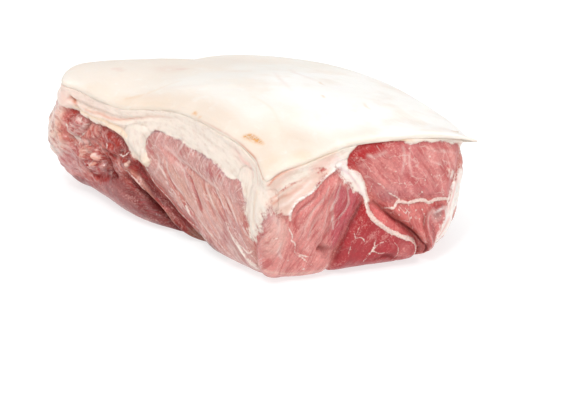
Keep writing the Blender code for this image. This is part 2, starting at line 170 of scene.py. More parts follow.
# anticlockwise from above, starting at the near end of the thin end
STATIONS = (
    Station(-124, -70.5, 77, -113, -42, 9, 26, 1),
    Station(-108, -69, 76.5, -103, -42, 7, 24, 1.5),
    Station(-82, -70, 76, -82, -48, 4, 19, 1.5),
    Station(-59, -68.5, 76, -60, -54, 3, 16, 1),
    Station(-36, -63.5, 80.5, -37, -55.5, 3, 13, 1),
    Station(-16, -61.5, 84, -16, -51.5, 4, 13, 1),
    Station(9, -63, 86, 9, -50, 5, 13, 1),
    Station(38, -67, 86, 38, -53, 5, 13, 1),
    Station(62, -67.5, 83, 60, -54, 5, 14, 1),
    Station(78, -68.5, 77, 73, -54.5, 5, 15, 1),
    Station(96, -74.5, 71, 82, -56, 4, 17, 1),
    Station(96, -63, 74, 85, -51, 3, 14, 1.5),
    Station(102, -50, 78, 90, -42, 3, 13, 1.5),
    Station(108, -18, 84, 96, -14, 3, 14, 1.5),
    Station(118.5, 1, 86, 103, 6, 2, 15, 1.5),
    Station(131, 24, 86, 108, 22.5, 3, 17, 2.5),
    Station(142, 43, 84, 105.5, 34, 2, 23, 7),
    Station(146, 53, 81, 102.5, 38.5, 1, 26, 11),
    Station(128, 66, 74, 96.5, 42.5, 0.5, 25, 9.5),
    Station(104, 78, 71, 85, 49, 2, 25, 5),
    Station(60, 93, 70, 50, 61, 5, 26, 3),
    Station(10, 104, 70, 8, 69, 8, 28, 2),
    Station(-42, 100, 71, -34, 67, 8, 28, 2),
    Station(-90, 83, 70, -73, 53, 8, 28, 2),
    Station(-124, 58, 67.5, -97, 34, 8, 28, 2),
    Station(-143, 24, 62, -108, 11, 8, 28, 2),
    Station(-150, -10, 69, -112, -12, 9, 28, 2),
    Station(-147, -44, 76, -115, -31, 9, 28, 1.5),
)
CORNERS = (0, 10, 17, 24)  # the stations where one side of the plan meets the next
NEAR_CORNER = 1  # which corner the places on the wall are measured from
FAR_CORNER = 3  # which corner they run out at
CORNER_BLEND = 14  # mm each way over which the outward direction turns at a corner
SPLINE_STEPS = 16  # rows that each span of the plan's outline is cut into
LINE_STEPS = 8  # the same for a line on the surface
OUTLINE_STEPS = 6  # and for an outline on it
SPREAD = 3  # widths from its line that a crease or a stroke is measured over
CREASE_END = 2.99  # widths from its line at which a crease is cut off
STROKE_END = 2.9  # and at which a stroke is
RELIEF_START = 3.0  # mm below the rind over which the relief grows from nothing
FOOT_REACH = 26.0  # mm that furrows of the wall run on under the joint


# ---- what the meat has


@dataclass(frozen=True)
class Muscle:
    """A swelling of the wall inside an outline, and its flesh.

    swell is its height and edge how far in it rounds over. grain is the way its
    fibres run, in degrees from along towards down. fibres, marbling and threads are
    how strongly they show, from 0 to 1.
    """

    outline: Places
    swell: float
    edge: float
    flesh: Flesh = Flesh.BACK
    grain: float = 90.0
    fibres: float = 0.5
    marbling: float = 0.3
    threads: float = 0.3


@dataclass(frozen=True)
class Crease:
    """A furrow (heights below 0) or a ridge (above 0) along a line, from its start to its end.

    lean lifts the left of the line, as one looks along it on the wall, and lowers the
    right. shade is how much painted shade darkens the flesh in it, from 0 to 1.
    """

    line: Places
    heights: Three
    width: float
    lean: float = 0.0
    shade: float = 0.0


@dataclass(frozen=True)
class Vein:
    """A line of fat in the surface, with half its width at the start, middle and end."""

    line: Places
    widths: Three = (0.5, 0.6, 0.3)


@dataclass(frozen=True)
class Stroke:
    """A soft line of colour, with its strength at the start, middle and end."""

    line: Places
    touch: Touch
    width: float = 1.0
    strength: Three = (0.3, 0.8, 0.3)


@dataclass(frozen=True)
class Stain:
    """A change of colour inside an outline that fades over feather mm."""

    outline: Places
    touch: Enum
    strength: float = 0.6
    feather: float = 6.0


MUSCLES = {
    # the long side, from the thin end to the near corner
    "neck_lump_left": Muscle(
        "-213,23 -207,16 -193,17 -192,21 -199,28 -206,32", 2.4, 4, Flesh.NECK_GREY, 12, 0.9, 0.3, 0.9
    ),
    "neck_lump_middle": Muscle(
        "-192,19 -186,17 -179,18 -179,23 -186,29 -195,30", 2.0, 4, Flesh.NECK, 75, 0.7, 0.3, 0.7
    ),
    "neck_lump_right": Muscle(
        "-178,17 -163,18 -153,24 -158,31 -168,32 -176,26", 3.0, 5, Flesh.NECK_DARK, 80, 0.4, 0.1, 0.2
    ),
    "neck_lump_low": Muscle(
        "-200,37 -188,33 -176,36 -172,45 -180,52 -196,52", 2.4, 5, Flesh.NECK, -6, 1.0, 0.2, 0.8
    ),
    "neck_lump_inner": Muscle(
        "-158,31 -150,27 -141,34 -145,41 -156,39", 2.0, 4, Flesh.STRIP, 60, 0.4, 0.2, 0.6
    ),
    "neck_membrane": Muscle(
        "-222,66 -202,63 -187,60 -177,53 -168,48 -157,48 -148,54 -138,60 -128,66 -118,75 -108,84 -102,104 "
        "-170,120 -240,105",
        2.6, 9, Flesh.MEMBRANE, 15, 0.25, 0.0, 0.15,
    ),
    "inner_strip": Muscle(
        "-149,31 -142,37 -139,45 -131,52 -122,57 -113,64 -104,70 -94,78 -84,90 -90,98 -101,82 -109,74 "
        "-117,67 -125,62 -134,56 -143,50 -152,42 -155,35",
        3.2, 3.5, Flesh.STRIP, 38, 0.6, 0.0, 0.2,
    ),
    "blade_muscle": Muscle(
        "-134,20 -129,15 -116,14 -101,15 -86,17 -72,19 -56,18 -41,20 -28,18 -22,23 -20,34 -14,42 -10,56 "
        "-10,75 -14,104 -60,104 -70,84 -82,71 -95,66 -108,58 -117,52 -125,47 -132,41 -137,33",
        3.6, 9, Flesh.SILVER, 38, 0.7, 0.0, 0.7,
    ),
    # the cut face, from the near corner to the far one
    "fillet_muscle": Muscle(
        "0,17 14,31 21,24 33,17 45,14 53,17 60,28 66,34 60,46 52,54 47,64 44,78 40,100 -8,100 -9,62 -7,48 "
        "-2,34",
        2.8, 8, Flesh.FILLET, 124, 0.6, 0.15, 0.35,
    ),
    "cap_muscle": Muscle(
        "59,7 68,2 90,1 112,1 134,3 138,18 133,30 130,40 111,40 100,40 89,39 82,41 75,35 69,24 63,13",
        2.6, 8, Flesh.CAP, 52, 0.3, 0.35, 0.1,
    ),
    "wedge_muscle": Muscle(
        "68,37 74,42 83,48 94,58 104,67 111,77 110,92 90,100 60,100 46,92 46,76 49,62 54,53 61,45",
        5.0, 7, Flesh.WEDGE, 130, 0.3, 0.2, 0.06,
    ),
    "rear_muscle": Muscle(
        "74,38 90,42 111,43 130,43 132,54 127,68 122,96 114,96 112,76 105,66 92,54 82,45",
        2.4, 5, Flesh.REAR, 62, 0.6, 0.45, 0.15,
    ),
    "rear_flap": Muscle(
        "125,44 117,47 112,53 112,60 115,68 119,79 126,66 131,53", 2.2, 2.5, Flesh.FLAP, 48, 0.6, 0.2, 0.2
    ),
    # the back, from the far corner of the cut face to the thin end
    "back_cap": Muscle(
        "142,8 168,13 196,15 214,24 206,44 180,58 158,62 143,45", 3.0, 9, Flesh.BACK_PALE, 20, 0.7, 0.3, 0.6
    ),
    "back_low": Muscle(
        "146,64 162,66 184,61 208,48 224,60 226,100 150,100", 3.0, 9, Flesh.BACK, 25, 0.7, 0.2, 0.5
    ),
    "back_middle": Muscle(
        "218,22 246,17 280,18 306,26 298,44 276,60 252,74 232,76 226,58 212,44",
        4.0, 10, Flesh.BACK, -28, 0.8, 0.2, 0.6,
    ),
    "back_belly": Muscle(
        "232,80 256,76 282,60 306,46 330,52 340,78 338,100 232,100",
        3.4, 9, Flesh.BACK_PALE, -24, 0.7, 0.3, 0.6,
    ),
    "back_blade": Muscle(
        "312,25 340,18 376,18 404,26 408,44 380,56 346,60 328,49 304,42",
        3.6, 9, Flesh.BACK, 12, 0.8, 0.2, 0.6,
    ),
    "back_end": Muscle("346,64 380,60 410,48 440,50 440,100 344,100", 3.0, 9, Flesh.BACK, 16, 0.7, 0.3, 0.5),
    # the thin end, measured on past the long side
    "end_cap": Muscle(
        "-362,16 -330,15 -302,20 -296,38 -322,50 -362,46", 3.4, 8, Flesh.NECK, 60, 0.7, 0.4, 0.6
    ),
    "end_round": Muscle(
        "-298,22 -270,16 -240,18 -224,28 -226,52 -254,62 -284,54 -292,38",
        3.8, 9, Flesh.NECK, 35, 0.7, 0.5, 0.7,
    ),
    "end_low": Muscle(
        "-366,50 -322,54 -290,58 -256,67 -250,100 -366,100", 3.0, 9, Flesh.BACK, 20, 0.7, 0.3, 0.5
    ),
}

FAT_SWELLS = {
    "fat_tongue": Muscle(
        "-150,12 -151,20 -144,29 -135,36 -128,37 -125,33 -132,27 -135,21 -132,14 -140,9", 2.2, 4
    ),
    "corner_fat": Muscle("-18,12 -3,8 2,14 -1,27 -5,37 -11,46 -15,41 -19,33 -20,22", 1.2, 4),
}

FAT = {
    "side_band": (
        "-232,-5 -232,10 -219,14 -207,14.5 -194,15.5 -185,16.5 -177,16 -166,15.5 -158,18 -153,22 -148,28 "
        "-142,34 -135,37.5 -128,37 -125,33 -130,28 -134.5,21 -132,17 -128,14.5 -122,14 -115,15.5 -101,16.5 "
        "-90,18 -78,19 -71,19 -60,19 -53,20 -44,22.5 -38,22 -32,19.5 -27,20.5 -24.5,24 -21,28 -22.5,32 "
        "-17,39 -13,46 -10,44 -5,37 -2,27 1,15 3,12 6,-5"
    ),
    "cut_band": (
        "0,-5 1,12 7,11.5 15,11 22,11 28,9 31,6.5 35,7 44,11 50,12 54,20 59,26 61,30 66,33 69,38.5 71.5,37 "
        "69,33 68,28 66,22 63,18 57,13 58,6 63,2 68,-5"
    ),
    "fillet_strip": (
        "0,10 7,10 15,9.5 24,8 30,6 40,9 50,11.5 43,13 37,14 33,16.5 31,19.5 26,20.4 21,22 18.5,25 15.5,29 "
        "11,27 6,23 2,19"
    ),
    "cap_rim": (
        "84,-5 86,0.8 92,1.4 97,3.4 102,3.6 107,2.2 112,3.2 122,2.6 129,3.8 136,3.4 141,7 146,8 146,-5"
    ),
    "far_edge": "141,18 137,27 133.5,34 132,44 129,53 125,62 121,76 128,78 138,66 146,50 149,34 146,22",
    "far_fleck": "128,21 132,21.5 136,26 131,25.5",
    "back_band": (
        "138,-5 142,8 168,11 198,14 220,19 246,14 280,14 308,21 340,15 376,14 398,16 416,15 431,13.6 "
        "450,13.2 450,-5"
    ),
    "back_fork": "208,14 214,26 212,42 218,56 228,74 231,76 224,56 219,40 224,18",
    "back_patch": "296,20 306,30 301,42 310,46 326,50 312,40 316,26 322,18",
    "end_band": "-370,-5 -370,13 -344,12 -318,15 -298,19 -276,13 -250,12 -228,10 -224,-5",
    "end_fork": "-302,16 -296,28 -297,42 -292,50 -288,47 -291,38 -290,26 -284,14",
    "neck_crumb_high": "-186,40 -184.5,37.5 -182,36 -180,37.6 -177.6,37.2 -178,40 -182,41.4",
    "neck_crumb_low": "-188.5,46.5 -185,43.6 -181,42.6 -182.6,45 -185,46 -187.6,48",
    "neck_crumb_right": "-148.2,35 -146,34 -145,36 -147,37",
    "foot_streak": "-31,58.6 -24,60.2 -17,63 -12,66.6 -17,65.4 -24,62.4",
    "column_lump": "-10.5,38 -8.5,40 -8,44 -10.5,44",
}

SILVER = {
    "blade": (
        "-138,34 -134,20 -129,15 -116,14 -101,15 -86,17 -72,19 -56,18 -41,20 -28,18 -22,23 -20,34 -14,42 "
        "-11,56 -13,75 -18,104 -60,104 -70,84 -82,71 -95,66 -108,58 -117,52 -125,47 -132,41"
    ),
    "fillet_left": "-8,44 -2,50 -1,60 -5,72 -6,104 -14,104 -10,70 -10,54",
    "far_edge": "134,30 144,30 140,50 128,74 122,74 131,50",
    "back_sheet": "222,30 250,22 276,24 296,32 288,44 262,60 240,68 232,56",
    "back_sheet_low": "352,68 384,64 412,54 436,56 436,100 350,100",
    "end_sheet": "-356,58 -322,60 -292,64 -262,74 -256,100 -356,100",
}
COMB_LINE = "-136,22 -129,15 -116,14.5 -101,16 -86,18 -72,19.5 -56,19.5 -44,22.5 -32,19 -25,22 -21,30"

CREASES = {
    # the long side
    "rind_crack": Crease("-214,8 -183,8 -164,7 -142,6 -113,5 -90,4", (-2, -1.4, 0), 1.4),
    "fat_fold_high": Crease("-216,11 -188,11 -166,11 -150,10", (0, 0.9, 0.5), 1.8),
    "fat_fold_low": Crease("-190,13 -172,14 -156,17 -148,24", (0.4, 1.2, 0.6), 1.8),
    "rind_notch": Crease("-214,7 -208,10", (-2.2, -1.6, 0), 1.6),
    "neck_pocket": Crease("-217,17 -207,15 -214,24", (-2, -3.5, -1), 3.6, shade=0.45),
    "neck_hole": Crease("-175,38 -171,38 -168,43 -162,47", (-1, -3.5, -2.5), 2.4, shade=0.8),
    "neck_rough_edge": Crease("-200,56 -182,54 -170,50", (0, -1.6, -1.5), 2.4, shade=0.3),
    "deep_cleft": Crease(
        "-152,46 -143,52 -135,57 -127,63 -119,69 -110,77 -102,86 -98,104", (-3, -9, -8), 3.6, shade=1.0
    ),
    "inner_cleft": Crease(
        "-141,36 -135,45 -126,52 -116,59 -107,65 -97,71 -84,80 -72,100", (-2.5, -4, -3), 2.5, shade=0.4
    ),
    "blade_fold_long": Crease("-117,23 -100,27 -85,30 -68,33 -42,32", (0, -1.1, 0), 2.2),
    "blade_fold_low": Crease("-110,34 -104,41 -94,48 -82,58 -68,66 -56,74", (0, -1.2, 0), 2.0),
    "blade_fold_high": Crease("-84,35 -74,42 -67,49 -56,58 -44,66", (0, -0.9, 0), 2.0),
    "blade_foot": Crease("-90,82 -76,82 -60,82", (0, -2.2, 0), 4.0, shade=0.6),
    # the cut face
    "fillet_seam_high": Crease("1,17 7,13 20,10 34,6", (0.5, 0.8, 0), 2.2),
    "fillet_seam_low": Crease("15,32 18,26 22,22 33,16 45,13 52,10", (0.6, 1.2, 0.8), 2.2),
    "fillet_split_left": Crease("44,19 31,24 21,31 18,41", (0, -1.0, 0), 1.8),
    "fillet_split_middle": Crease("52,21 43,30 41,43 33,53", (-0.6, -1.5, -0.4), 1.8),
    "fillet_split_right": Crease("58,26 56,32 55,43 50,54", (-0.4, -1.2, -0.6), 1.8),
    "fillet_hole": Crease("35,58 38,60 44,61 51,62", (-3.5, -3.0, -1.5), 1.9, shade=0.3),
    "wedge_gap": Crease("66,37 61,45 53,54 48,62 45,74 43,88 42,100", (-2, -5, -5), 3.0, shade=0.15),
    "wedge_seam": Crease("69,39 71,46 79,52 88,59 96,65 102,71 104,78", (1.0, 1.8, 1.2), 2.4),
    "wedge_cleft": Crease("71,36 81,43 93,55 104,66 111,77 116,90 118,100", (-1, -6, -6), 2.8),
    "fat_fork": Crease("55,9 59,16 63,24 68,35", (0.8, 1.6, 0.8), 3.6),
    "cap_seam": Crease("83,42 91,41 101,42 111,42 126,43", (0.4, 1.0, 0.6), 2.0),
    "cap_vein": Crease("66,11 71,21 80,29 89,39", (0, 0.5, 0), 1.4),
    "edge_membrane": Crease("135,8 130,20 130,42 128,56 122,72", (0.8, 1.2, 1.0), 3.0),
    # the back and the thin end
    "back_fat_high": Crease("160,7 210,9 260,8 310,10 360,8 420,9", (0.5, 1.6, 0.8), 3.4),
    "back_fat_low": Crease("150,11 198,17 240,13 290,17 322,20 360,14", (0, 1.3, 0), 2.6),
    "back_cleft": Crease("206,20 210,46 226,62 230,84 232,100", (-1, -6, -5), 3.6, shade=0.9),
    "back_gap": Crease("300,22 304,44 324,52 342,66 342,100", (-1, -5, -4), 3.4, shade=0.9),
    "end_gap": Crease("-294,20 -294,40 -286,56 -262,66 -240,80 -232,100", (-1, -5, -4), 3.6, shade=0.9),
    "end_fat": Crease("-360,9 -320,8 -280,10 -232,8", (0.6, 1.5, 0.6), 3.2),
}

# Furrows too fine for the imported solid: folds of the silver skin, and where flesh was cut or torn.
FINE_CREASES = (
    # folds of the silver skin
    Crease("-116,23 -107,26 -100,28 -92,30 -79,31 -69,32 -60,33 -46,34", (-0.3, -0.6, -0.3), 1.1, 0.6, 0.1),
    Crease("-109,32 -106,41 -101,46 -94,50 -88,54 -80,59 -70,64 -60,69", (-0.4, -1.0, -0.5), 1.2, 1.1, 0.3),
    Crease("-88,33 -83,35 -78,37 -74,42 -71,47 -67,53", (-0.5, -1.2, -0.6), 1.3, 1.2, 0.5),
    Crease("-64,34 -61,40 -56,47 -50,53", (-0.4, -1.1, -0.4), 1.2, 1.0, 0.4),
    Crease("-53,34 -48,38 -43,43 -38,49", (-0.4, -1.1, -0.4), 1.2, 1.0, 0.4),
    Crease("-42,35 -36,40 -31,45 -28,50", (-0.4, -1.0, -0.4), 1.2, 0.9, 0.35),
    Crease("-110,41 -106,48 -103,54 -98,60", (-0.4, -0.9, -0.4), 1.1, 0.8, 0.3),
    Crease("-82,60 -75,63 -68,66 -60,69 -52,72 -44,77", (0.2, 0.5, 0.3), 1.0, 0.4),
    # the strip of muscle and the membrane under the neck
    Crease("-148,41 -139,50 -128,59 -116,66 -104,75", (0.2, 0.6, 0.3), 1.0, 0.4),
    Crease("-196,74 -176,68 -158,64 -140,68", (0, -0.5, 0), 2.4),
    Crease("-180,80 -158,74 -138,75 -124,82", (0, 0.5, 0), 2.4),
    # between the lumps of the neck, and its crumbs of fat
    Crease("-192,16 -193,22 -198,29", (-1.8, -2.4, -1.0), 1.4, shade=0.3),
    Crease("-180,17 -178,23 -183,30", (-1.4, -2.0, -1.0), 1.3, shade=0.25),
    Crease("-183,31 -172,33 -160,34", (-0.8, -2.0, -1.2), 1.4, shade=0.4),
    Crease("-216,30 -208,34 -201,36", (-0.8, -1.6, -0.8), 1.4, shade=0.3),
    Crease("-199,41 -196,37 -192,35 -187,36", (0.6, 1.2, 0.6), 1.2),
    Crease("-184,38 -180,39", (1.6, 2.6, 1.6), 1.8),
    Crease("-186,46 -182,44", (1.2, 2.2, 1.2), 1.5),
    Crease("-147.5,35 -145.5,35.5", (0.8, 1.4, 0.8), 1.6),
    Crease("-187,42.5 -181,43 -176,40 -175,36", (-0.6, -1.4, -1.0), 1.3, shade=0.35),
    Crease("-197,45 -188,50 -178,53", (-0.3, -0.6, -0.3), 0.9),
    Crease("-201,48 -192,53 -182,57", (-0.3, -0.6, -0.3), 0.9),
    # the shelf of fat over the neck
    Crease("-209,12 -190,13 -172,12 -158,13 -150,18", (-0.5, -0.8, -0.4), 0.9),
    # splits in the fillet, and its lip
    Crease("51,23 47,29 44,35 44,42 44,48", (-0.5, -1.0, -0.5), 1.0, 0.9, 0.2),
    Crease("56,27 56,36 51,41 45,44", (-0.5, -1.0, -0.5), 1.0, 0.8, 0.2),
    Crease("42,20 39,25 34,29 29,33 26,39 22,46", (-0.6, -1.1, -0.4), 1.1, 0.9, 0.25),
    Crease("35,21 31,25 24,28 19,32", (-0.5, -0.9, -0.4), 1.0, 0.8, 0.2),
    Crease("44,42 42,46 39,50 35,55", (-0.5, -0.9, -0.4), 1.0, 0.8, 0.25),
    Crease("34,34 31,39 29,43 27,49", (-0.4, -0.9, -0.4), 1.0, 0.8, 0.2),
    Crease("-8,57 -3,59 1,62 12,69 26,74 36,76 42,73", (0.3, 0.8, 0.4), 1.3, -0.6),
    # the wedge, and what fills the clefts part of the way
    Crease("58,57 56,63 54,70", (-0.2, -0.5, -0.2), 0.9),
    Crease("74,39 81,46 87,52 93,56 100,61 106,66 110,70 115,73 119,80", (-0.5, -1.2, -1.2), 1.1, 0.0, 0.85),
    Crease("71,36 81,43 93,55 104,66 111,77", (0.4, 3.6, 3.4), 2.8),
    Crease("66,37 61,45 53,54 48,62 45,74 43,88", (1.4, 4.0, 3.4), 3.0),
    Crease("66,37 61,45 53,54 48,62 45,74", (0, 1.8, 1.4), 6.0),
    Crease("39,60 44,61 51,62 54,62", (1.4, 2.6, 1.6), 1.8),
    Crease("-141,36 -135,45 -126,52 -116,59 -107,65 -97,71 -84,80", (0.6, 2.6, 2.4), 2.4),
    Crease("84,42 93,50 103,58 111,64 118,71 122,82", (1.8, 4.2, 3.6), 3.8),
    # the flap and the cap
    Crease("118,47 114,50 112.5,56 114,62 117,68 118,74", (0.5, 1.2, 0.6), 1.0),
    Crease("114,47 110.5,53 110.5,59 113,66 116,73", (-0.6, -1.2, -1.0), 1.0, 0, 0.4),
    Crease("92,6 94,16 96,28", (-0.2, -0.4, -0.1), 1.0),
    Crease("84,6 86,16 85,26", (-0.2, -0.4, -0.1), 1.0),
    # nicks along the foot of the cut face
    Crease("57,84 58,100", (0, -1.6, -3), 1.4),
    Crease("72,82 73,100", (0, -2.2, -4), 1.8),
    Crease("81,84 80,100", (0, -1.4, -3), 1.2),
    Crease("95,80 96,100", (0, -2.0, -4), 1.6),
    Crease("22,84 24,100", (0, -1.0, -2), 2.0),
    Crease("76,77 82,75 89,79 97,80", (-0.8, -1.6, -0.6), 2.0, 0, 0.45),
)

VEINS = (
    # the fillet
    Vein("16,32 17,27 20,23 25,21 31,19 35,17 40,14 46,12 51,10", (0.9, 0.8, 0.7)),
    Vein("14,36 17,43 16,45 19,48 19,54 24,60 28,65 33,69", (0.5, 0.3, 0.0)),
    Vein("19,54 25,59 31,62", (0.1, 0.15, 0.0)),
    # the cap's top and the fork of fat beside it
    Vein("136,2 126,1.2 116,1.4", (0.6, 0.8, 0.3)),
    Vein("56,14 63,18 66,22 68,28 69,33 71,38", (0.8, 1.0, 0.8)),
    # the dark wedge and the seam over it
    Vein("59,55 60,58 64,59 67,62 66,66", (0.2, 0.25, 0.1)),
    Vein("57,58 56,63 55,68", (0.1, 0.35, 0.2)),
    Vein("66,82 68,76 73,70 77,66 83,64 86,60", (0.1, 0.4, 0.1)),
    Vein("75,63 73,69 69,73", (0.1, 0.4, 0.2)),
    Vein("87,66 90,70 90,78 88,82", (0.1, 0.35, 0.1)),
    Vein("73,70 79,73 84,72", (0.4, 0.3, 0.1)),
    Vein("60,58 63,52 66,47", (0.2, 0.25, 0.1)),
    Vein("69,38 70,43 73,48 78,53 84,58 91,62 97,65 102,68 105,73 105,79", (1.5, 1.5, 0.7)),
    # the cap and the seam under it
    Vein("65,6 68,12 72,18 75,25 79,28 82,32 88,37 92,40", (0.0, 0.2, 0.4)),
    Vein("78,35 82,32 86,31.5", (0.0, 0.2, 0.0)),
    Vein("84,27 94,29 98,31", (0.0, 0.15, 0.0)),
    Vein("75,24 72,31 72,37", (0.0, 0.2, 0.0)),
    Vein("82,44 87,43.5 90,41 97,42 105,41 110,41.5 114,43 119,41.5 126,41 134,41", (0.8, 1.2, 1.0)),
    Vein("91,44 95,47.5 98,44", (0.2, 0.3, 0.2)),
    # the neck end and the strip under it
    Vein("-215,25 -211,29 -206,32 -201,33 -204,38", (0.5, 0.9, 0.4)),
    Vein("-206,33 -199,29 -193,22 -191,18", (0.4, 0.4, 0.2)),
    Vein("-179,18 -178,22 -180,27", (0.3, 0.5, 0.2)),
    Vein("-172,29.5 -169.5,26.5 -167,26.3 -168,30", (0.3, 0.6, 0.3)),
    Vein("-158,31 -152,31 -149,29", (0.3, 0.7, 0.4)),
    Vein("-150,39 -141,46 -133,54 -124,61 -115,67 -105,76", (0.3, 0.35, 0.3)),
    Vein("-119,65 -115,68 -111,71", (0.1, 0.5, 0.1)),
    # the silver-skinned side
    Vein("-133,38 -129,43 -125,49 -118,54 -110,59 -103,65 -94,69 -80,72 -62,75", (0.4, 0.4, 0.4)),
    Vein("-86.5,57 -84,60 -82,63.5", (0.6, 1.0, 0.5)),
    Vein("-80,59 -75,62 -68,64 -60,67 -55,69 -47,71 -39,75 -33,79", (0.2, 0.35, 0.2)),
    Vein("-40,51 -36,56 -32,59.5 -25,62 -19,62.4 -12,63", (0.3, 1.2, 0.8)),
    Vein("-26,58 -20,57.5 -15,56.6 -12,53", (0.2, 0.8, 0.3)),
    Vein("-42,52 -31,50 -21,51 -13,58", (0.1, 0.4, 0.3)),
    # the back and the thin end
    Vein("150,20 168,28 186,32 200,40", (0.2, 0.6, 0.2)),
    Vein("236,30 254,40 262,52", (0.2, 0.5, 0.2)),
    Vein("320,34 346,38 372,36 396,40", (0.2, 0.6, 0.2)),
    Vein("213,26 212,44 224,58 230,76", (1.0, 0.9, 0.5)),
    Vein("303,28 301,42 312,47 330,55 341,68", (1.0, 0.8, 0.5)),
    Vein("-296,24 -298,42 -289,56 -266,66 -248,76", (1.0, 0.9, 0.5)),
    Vein("-352,26 -332,30 -312,36", (0.2, 0.6, 0.2)),
)

# Flecks of fat in the cut face and the neck.
FLECKS = (
    "94,28 99,34 107,35 123,36 126,38 95,16 97,6 103,47 108,47 103,51 82,52 4,38 5,42 14,58 25,68 13,15 6,14 "
    "88,20 112,12 118,20 109,27 119,50 122,48 124,51 120,53 106,53 110,50 99,51 86,48 95,53 -170,27 -190,33 "
    "-208,38"
)
FLECK_SIZE = 0.75
FLECK_FLATNESS = 1.4  # how much longer a fleck is along the wall than down it

